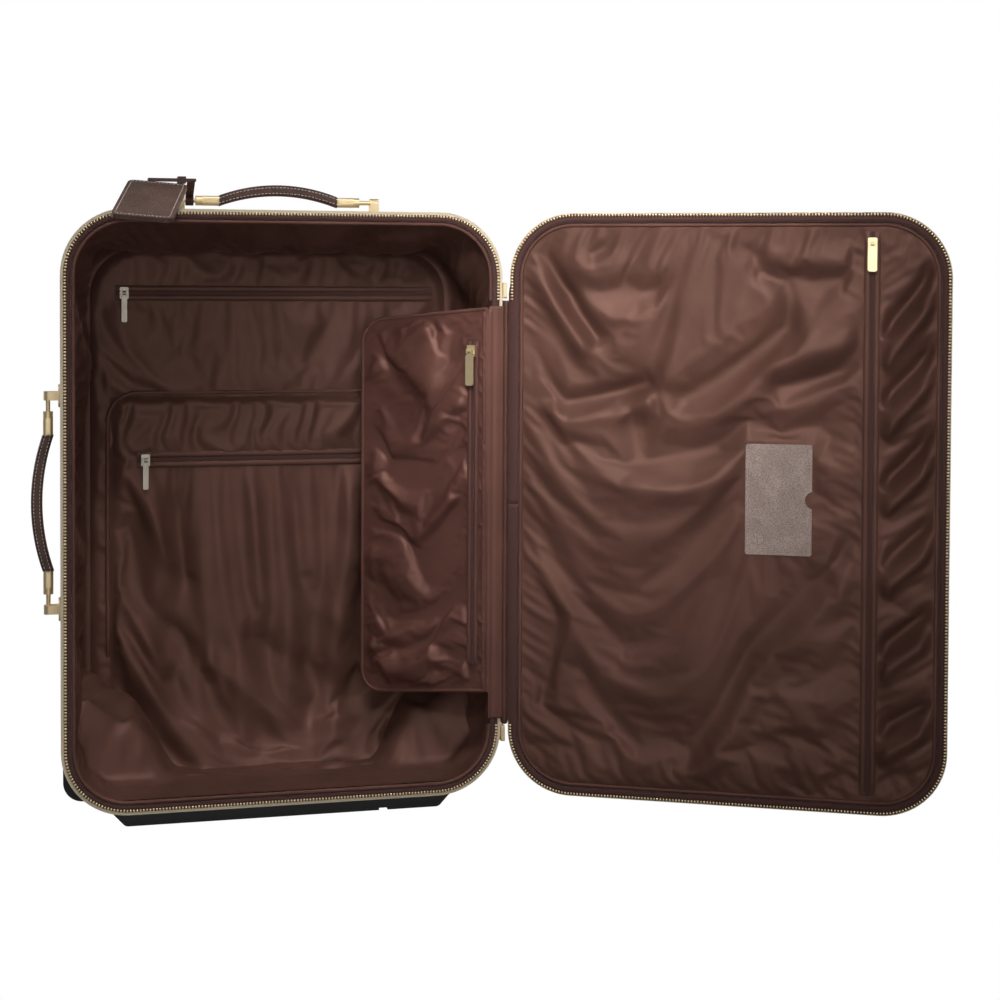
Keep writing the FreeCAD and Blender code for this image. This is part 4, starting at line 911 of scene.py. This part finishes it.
def pocket_cloth():
    """The lower pocket, gathered over its zip and spread out over the floor of the case."""
    top = POCKET[3] + 1
    zip_run = top - LOWER_ZIP[0][1]
    bend_top = 116.0
    bend_deep = 34.0
    spread = 30.0
    fall = top - bend_top
    round_run = math.pi / 2 * math.sqrt((bend_deep ** 2 + (bend_top - FLOOR) ** 2) / 2)
    total = fall + round_run + spread

    def from_side(x):
        return np.minimum(x - POCKET[0], POCKET[2] - x)

    def shape(along, over):
        x = between(POCKET[0], POCKET[2], along)
        run = (1 - over) * total
        turn = np.clip((run - fall) / round_run, 0, 1) * math.pi / 2
        flat_run = np.maximum(run - fall - round_run, 0)
        y = np.where(run < fall, top - run, between(FLOOR + 2.5, bend_top, 1 - np.sin(turn)))
        y -= 14 * smooth(flat_run, spread * 0.2, spread)
        side = from_side(x)
        z = POCKET_FACE + (bend_deep * (1 - np.cos(turn)) + flat_run) * smooth(side, -6, 60)
        upper = smooth(run, 4, 20) * smooth(zip_run - run, 3, 18)
        lower = smooth(run, zip_run + 5, zip_run + 46)
        bunched = x + wave(run, (53,), 9) * 5 + wave(x, (97, 61), 31) * 12
        gathers = wave(bunched, (37, 23, 15), 10) * upper * 2.4
        hang = wave(x + run * 0.06, (86, 61, 43), 11) * lower * 6.0
        swags = folds(x, run - fall, *POCKET_SWAGS) * smooth(run, fall - 90, fall - 20)
        creases = folds(x, run, *POCKET_CREASES) * lower
        puff = (gathers + hang + creases + swags) * smooth(side, 2, 18) * smooth(total - run, 0, 16)
        rolled = (1 - smooth(np.minimum(side, run), 0, 10)) * (POCKET_FACE - PANEL)
        return x, y + puff * np.sin(turn), z + puff * np.cos(turn) - rolled

    def sewn(x, y, over):
        run = (1 - over) * total
        zip_band = (np.abs(run - zip_run) < 4.5) & (np.abs(x) < 132)
        return (run < 4) | (from_side(x) < 4) | zip_band | (total - run < spread * 0.5)

    piece = patch("lower_pocket_cloth", 80, 112, shape, LINING, CASE, sewn)
    make_cloth(piece, 0.03, 0.35, push=0.3, bend=0.15)
    dress(piece, "case", "lining", "lower_pocket")
    rim_path = [(x, y, PANEL + 2.2 - 6 * float(smooth(-y, -150, -110)))
                for x, y, _ in frame_points(POCKET, -2.0, 0)]
    cord = bead_cord("lower_pocket_cord", rim_path, 2.0, PIPING, CASE, closed=True, lumps=0.12)
    dress(cord, "case", "piping", "lower_pocket_piping")
    return piece, total


# Hinged pouch
POUCH_EDGE = 132.0
POUCH_SEWN = 9.0
POUCH_LEAF_END = 0.8
POUCH_DROOP = 12.0
POUCH_HALF = 3.5
POUCH_CORNER = 20.0
POUCH_FOLDS = (
    (3.0, 8, (-128, 300), (-90, 318), (-40, 350)), (-2.6, 8, (-128, 276), (-84, 286), (-30, 318)),
    (3.0, 9, (-128, 210), (-80, 232), (-30, 262)), (-2.6, 9, (-126, 180), (-70, 196), (-28, 210)),
    (2.8, 8, (-128, 120), (-88, 134), (-40, 176)), (-2.6, 8, (-126, 84), (-80, 96), (-30, 128)),
    (3.0, 9, (-128, 40), (-80, 60), (-30, 70)), (2.4, 8, (-100, 20), (-60, 34), (-28, 20)),
    (-2.4, 4, (-122, 330), (-96, 296), (-64, 288)), (-2.4, 4, (-30, 300), (-62, 262), (-70, 240)),
    (-2.4, 4, (-124, 248), (-100, 216), (-62, 212)), (-2.4, 4, (-30, 236), (-60, 190), (-66, 160)),
    (-2.4, 4, (-124, 160), (-92, 150), (-60, 120)), (-2.4, 4, (-30, 160), (-56, 112), (-92, 104)),
    (-2.4, 4, (-124, 100), (-104, 66), (-70, 74)), (-2.2, 4, (-30, 96), (-60, 50), (-90, 40)),
    (-2.2, 4, (-124, 30), (-96, 44)), (-2.2, 4, (-60, 345), (-46, 316), (-28, 310)),
)


def pouch_cloth():
    """Both halves of the pouch, gathered at its zip and edges, and the binding round them."""
    width = POUCH_EDGE - POUCH_LEAF_END
    tall = pouch_high - pouch_low - POUCH_DROOP
    zip_x = POUCH_ZIP[0][0]
    edges = (-POUCH_EDGE, 0.0, POUCH_EDGE, tall, POUCH_CORNER)

    def foot(x):
        return pouch_low + POUCH_DROOP + POUCH_DROOP * (x + POUCH_SEWN) / (POUCH_EDGE - POUCH_SEWN)

    def depth(x, y):
        return np.minimum(depth_inside(x, y, edges), -POUCH_LEAF_END - x)

    def shape(along, over, sign):
        x = -POUCH_EDGE + along * width
        y = over * tall
        deep = depth(x, y)
        dome = smooth(deep, 0, 16) ** 0.6
        clear = smooth(deep, 2, 14) * (smooth(np.abs(x - zip_x), 3, 9) if sign > 0 else 1)
        gathered = smooth(-x, POUCH_EDGE - 34, POUCH_EDGE - 6) + smooth(x, -60, -26)
        puckers = wave(y, (23, 17, 13), 12) * gathered
        near_zip = fade(np.abs(x - zip_x + 8), 9) * smooth(zip_x - x, 3, 8)
        ruched = wave(y + x * 0.6, (15, 11, 8), 25) * smooth(x, zip_x + 2, zip_x + 7) * 2.4
        ruched += wave(y + x * 0.5, (14, 10, 7), 26) * near_zip * 2.0
        ruched += wave(y - x * 0.4, (13, 9, 7), 27) * fade(deep, 9) * 2.2
        ruched *= smooth(deep, 0, 4)
        creased = folds(x, y, *POUCH_FOLDS) * 1.7 + puckers * 2.0
        height = POUCH_HALF * 0.5 * dome + creased * clear + ruched
        return x, foot(x) + y, sign * np.maximum(height, 0.3 * smooth(deep, 0, 3))

    def sewn(x, y, over, sign):
        return (depth(x, over * tall) < 4) | ((np.abs(x - zip_x) < 3.2) & (sign > 0))

    def cut(x, y):
        return depth_inside(x, y - foot(x), edges) < -0.8

    halves = []
    for name, sign, stands_for in (("front", 1, ("pouch_pad",)), ("back", -1, ())):
        piece = patch(
            "pouch_cloth_" + name, 46, 128, partial(shape, sign=sign), POUCH_SATIN, POUCH,
            partial(sewn, sign=sign), cut)
        make_cloth(piece, 0.06, 0.15, push=0.4, bend=0.04)
        dress(piece, "pouch", "lining", *stands_for)
        halves.append(piece)
    edge = [(x, y + foot(x), 0.0) for x, y, _ in frame_points(edges, 0.2, 0) if x < -POUCH_LEAF_END]
    gap = max(range(len(edge) - 1), key=lambda i: math.dist(edge[i], edge[i + 1])) + 1
    binding = bead_cord("pouch_binding", edge[gap:] + edge[:gap], 1.8, PIPING, POUCH, lumps=0.12)
    dress(binding, "pouch", "piping")
    return halves


# Cloth nearer than PRESS_START to a level is eased away from it, and stays at least PRESS_LEAST clear.
# The lid's cloth is pressed only round the pouch's pull, fading out over PRESS_EASE.
PRESS_LEAST = 0.4
PRESS_START = 1.5
PRESS_EASE = 16
PULL_SIDES = 5
PULL_ENDS = 10
PULL_ROOM = (
    HINGE_X - pull_high.x - PULL_SIDES, pull_low.z - PULL_ENDS,
    HINGE_X - pull_low.x + PULL_SIDES, pull_high.z + PULL_ENDS, 4.0)


def press_out(piece, place, level, sign=1, room=None):
    """Presses what lies behind a level of a flat frame back to its own side, or only in the room given."""
    spots = np.empty(len(piece.data.vertices) * 3)
    piece.data.vertices.foreach_get("co", spots)
    turn, origin = np.array(place.to_3x3()), np.array(place.translation)
    flat = (spots.reshape(-1, 3) - origin) @ turn / MM
    rise = (flat[:, 2] - level) * sign
    ease = PRESS_START - PRESS_LEAST
    eased = PRESS_LEAST + ease * np.exp(np.minimum(rise - PRESS_START, 0) / ease)
    kept = np.where(rise < PRESS_START, eased, rise)
    share = 1 if room is None else smooth(depth_inside(flat[:, 0], flat[:, 1], room), -PRESS_EASE, 0)
    flat[:, 2] += (level + sign * kept - flat[:, 2]) * share
    piece.data.vertices.foreach_set("co", (flat @ turn.T * MM + origin).ravel())


lid_piece = lid_cloth()
tray = tray_cloth()
panel = panel_cloth()
pocket_piece, pocket_run = pocket_cloth()
halves = pouch_cloth()
settle_cloth()
press_out(halves[0], POUCH, 0.0)
press_out(halves[1], POUCH, 0.0, -1)
press_out(pocket_piece, CASE, PANEL)
press_out(lid_piece, LID, LID_FACE - 0.8, -1, PULL_ROOM)
pocket_run * MM
zip_welt("upper_pocket", "case", UPPER_ZIP, PANEL + 1.0, CASE)
zip_welt("lower_pocket", "case", LOWER_ZIP, POCKET_FACE + 1.0, CASE, gap=1.6)
zip_welt("lid_pocket", "lid", LID_ZIP, LID_FACE + 0.2, LID)
zip_welt("pouch", "pouch", POUCH_ZIP, POUCH_HALF + 1.0, POUCH, POUCH_SATIN, 0.8, 4.4)


# Cloth of the hinge
def gusset_cloth():
    """The hinge cloth, sewn inside the case's wall, round the hinge line and inside the lid's wall."""
    turn = math.radians(LID_TURN)
    case_side = [(RIGHT + 1.4, RIM + 13), (RIGHT + 1.4, RIM + 2), (RIGHT + 1.6, RIM - 1.0)]
    hinge_line = [(HINGE_X + u, HINGE_Y + v) for u, v in ((-1.2, -0.4), (0, -1.4), (1.2, -0.6))]
    lid_side = [
        (HINGE_X + u * math.cos(turn) - v * math.sin(turn), HINGE_Y + u * math.sin(turn) + v * math.cos(turn))
        for u, v in ((1.6, 0.8), (1.4, 4.0), (1.4, 15.0))]
    route = np.array(case_side + hinge_line + lid_side)

    def shape(along, over):
        x, y = along_points(route, over)
        z = between(gusset_low, gusset_high, along)
        return x + wave(z, (47, 31, 19), 13) * 0.3, z, -y

    piece = patch("hinge_cloth", 110, 18, shape, LINING, CASE)
    thicken(piece, 0.6)
    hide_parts("hinge_gusset", "lid_gusset")
    start, end = ((x * MM, HINGE_Y * MM, MIDDLE * MM) for x in (RIGHT + 1.5, HINGE_X + 1.2))
    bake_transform(piece)


def pouch_tab():
    """The pouch's cloth runs on past its sewn edge, across the case's rim to the hinge line."""
    pivot = POUCH.translation / MM
    on_pouch = [POUCH.to_3x3() @ Vector((x, 0, z)) + pivot for x, z in ((-7, 1.8), (-3.5, 0.9), (-0.5, 0.3))]
    route = np.array([(spot.x, spot.y) for spot in on_pouch] + [
        (pivot.x + 3, HINGE_Y + 0.9), (pivot.x + 6, HINGE_Y + 0.3), (HINGE_X - 1.8, HINGE_Y + 0.3)])
    low, high = gusset_low + 5, gusset_high - 5
    run = np.concatenate(([0], np.cumsum(np.hypot(*np.diff(route, axis=0).T))))

    def shape(along, over):
        z = between(low, high, along)
        beyond = smooth(pouch_low + POUCH_DROOP - z, -3, 1) + smooth(z - pouch_high, -3, 1)
        at = between(beyond * run[2], run[-1], over)
        x, y = (np.interp(at, run, route[:, column]) for column in range(2))
        ruched = wave(z + x * 0.8, (31, 19, 13), 14) * 0.25 * np.sin(over * math.pi)
        ruched += wave(z + x * 0.6, (15, 11, 8), 25) * 0.6 * smooth(pivot.x - 1 - x, 0, 3)
        return x, z, -y + ruched

    piece = patch("pouch_tab", 190, 16, shape, POUCH_SATIN, CASE)
    thicken(piece, 0.4)
    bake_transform(piece)


gusset_cloth()
pouch_tab()


# Spring of the release button
def button_coil(wire=0.45, turns=5, points_per_turn=20):
    """The wound spring under the release button."""
    low, high = (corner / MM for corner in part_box("button_spring"))
    middle = (low + high) / 2
    across = (high.x - low.x) / 2 - wire
    angles = np.linspace(0, turns * 2 * math.pi, turns * points_per_turn + 1)
    heights = np.linspace(low.z + wire, high.z - wire, len(angles))
    points = [(middle.x + across * math.cos(angle), middle.y + across * math.sin(angle), height)
              for angle, height in zip(angles, heights)]
    piece = bead_cord("button_spring_coil", points, wire, STEEL, HERE)
    dress(piece, "trolley_top", "steel", "button_spring")
    travel = max(map(abs, joints["release_button_press"]["range_m"])) / MM
    left_over = 1 - travel / (high.z - low.z)
    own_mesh(piece)


button_coil()

# White and taupe stitching on the leather
TOWARDS_LEAST = 0.3
SAME_DIRECTION = 0.9999
SAME_PLANE = 0.02


def face_outline(node, towards):
    """The outline in order, and the normal, of a piece's broadest flat face that looks a given way."""
    place = nodes[node].matrix_world
    mesh = nodes[node].data
    turn = place.to_3x3()
    facing = [face for face in mesh.polygons if (turn @ face.normal).dot(towards) > TOWARDS_LEAST]
    widest = max(facing, key=lambda face: face.area)
    flat = [face for face in facing if face.normal.dot(widest.normal) > SAME_DIRECTION
            and abs((face.center - widest.center).dot(widest.normal)) < SAME_PLANE * MM]
    sides = dict.fromkeys(
        side for face in flat for side in zip(face.vertices, (*face.vertices[1:], face.vertices[0])))
    follows = {one: two for one, two in sides if (two, one) not in sides}
    first = at = next(iter(follows))
    outline = []
    while not outline or at != first:
        outline.append(place @ mesh.vertices[at].co)
        at = follows[at]
    return outline, (turn @ widest.normal).normalized()


def stitch_round(node, body, slot, towards, inset, lift, finish, size=(2.2, 0.6, 0.6), pitch=3.3):
    """A row of stitches round the broadest face of a leather piece, moved inwards from its edge."""
    outline, normal = face_outline(node, Vector(towards))
    path = []
    for before, here, after in zip(outline[-1:] + outline[:-1], outline, outline[1:] + outline[:1]):
        along = ((here - before).normalized() + (after - here).normalized()).normalized()
        path.append(tuple((here / MM) + normal.cross(along) * inset + normal * lift))
    dress(beads(node + "_stitches", path, size, pitch, finish, HERE, closed=True), body, slot)


stitch_round("luggage_tag", "tag", "leather", (0, -0.39, 0.92), 3.0, 0.1, THREAD)
for handle in ("top_handle", "side_handle"):
    stitch_round(handle + "_grip", handle, "leather", (0, -1, 0), -1.2, -0.05, THREAD)
lid_front = LID.to_3x3() @ Vector((0, 0, 1))
stitch_round(
    "card_holder", "lid", "card_leather", lid_front, 1.8, 0.0, TAUPE_THREAD, (1.6, 0.45, 0.45), 2.6)


# Stage, light and camera
def stage_floor():
    """A pale floor that sends light up, and is white to the camera."""
    bpy.ops.mesh.primitive_plane_add(size=12, location=(0, 2, 0))
    floor = bpy.context.object
    floor.name = "floor"
    finish = Finish("pale_floor", Roughness=0.9, Specular_IOR_Level=0.1)
    cloud = finish.noise(300, 2.0)
    finish.set(Base_Color=finish.mix(cloud, colour(158, 158, 158), colour(164, 164, 164)))
    seen = finish.node("ShaderNodeLightPath", {}, {}, "Is Camera Ray")
    glow = finish.node("ShaderNodeEmission", {}, {})
    finish.show(finish.node("ShaderNodeMixShader", {}, {0: seen, 1: finish.shader, 2: glow}))
    floor.data.materials.append(finish.material)


def stage_world():
    """A dim room, brighter in reflections, and white to the camera."""
    world = bpy.data.worlds.new("studio")
    scene.world = world
    world.use_nodes = True
    graph = Graph(world.node_tree, "ShaderNodeOutputWorld")
    glossy, camera, through = (graph.node("ShaderNodeLightPath", {}, {}, "Is %s Ray" % kind)
                               for kind in ("Glossy", "Camera", "Transmission"))
    room = graph.node("ShaderNodeBackground", {}, {
        "Color": (1.0, 0.99, 0.97, 1.0), "Strength": glossy * 0.25 + 0.06})
    white = graph.node("ShaderNodeBackground", {}, {"Color": (1, 1, 1, 1)})
    seen = graph.node("ShaderNodeMath", {"operation": "MAXIMUM"}, {0: camera, 1: through})
    graph.show(graph.node("ShaderNodeMixShader", {}, {0: seen, 1: room, 2: white}))


def softbox(name, place, target, size, power, beam=180):
    """A rectangular lamp with the width of its beam in degrees."""
    data = adjust(
        bpy.data.lights.new(name, "AREA"), shape="RECTANGLE", size=size[0], size_y=size[1], energy=power,
        spread=math.radians(beam))
    lamp = bpy.data.objects.new(name, data)
    scene.collection.objects.link(lamp)
    lamp.location = place
    lamp.rotation_euler = (Vector(target) - Vector(place)).to_track_quat("-Z", "Y").to_euler()


def stage_camera():
    """The photograph's view: a little to the left of the case, level with its upper half."""
    focal_pixels = 1799.7
    principal_row = 336.2
    picture = 1000.0
    data = bpy.data.cameras.new("camera")
    data.sensor_width = 36.0
    data.lens = data.sensor_width * focal_pixels / picture
    data.shift_y = (principal_row - picture / 2) / picture
    camera = bpy.data.objects.new("camera", data)
    scene.collection.objects.link(camera)
    yaw, pitch, roll = (math.radians(angle) for angle in (13.79, -1.62, 0.28))
    camera.location = (-0.19625, -1.60769, 0.4758)
    level = Matrix.Rotation(-yaw, 4, "Z") @ Matrix.Rotation(math.pi / 2 + pitch, 4, "X")
    camera.rotation_euler = (level @ Matrix.Rotation(roll, 4, "Z")).to_euler()
    scene.camera = camera


scene.view_settings.view_transform = "Standard"
stage_floor()
stage_world()
softbox("key_light", (0.0, -1.0, 0.95), (0.3, -0.08, 0.46), (0.3, 0.3), 0.64, 35)
softbox("front_light", (-0.5, -2.2, 0.7), (0.3, -0.1, 0.4), (0.8, 0.8), 2.6)
softbox("low_light", (0.0, -1.8, 0.25), (0.1, 0.0, 0.3), (0.6, 0.4), 5.0)
softbox("floor_light", (-0.05, -0.5, 1.3), (-0.05, 0.0, 0.1), (0.4, 0.3), 0.5, 40)
softbox("back_left_light", (-1.8, 1.7, 1.0), (0.0, 0.1, 0.3), (1.0, 1.0), 22.0)
softbox("back_right_light", (1.9, 1.5, 1.0), (0.1, 0.0, 0.3), (1.0, 1.0), 22.0)
stage_camera()
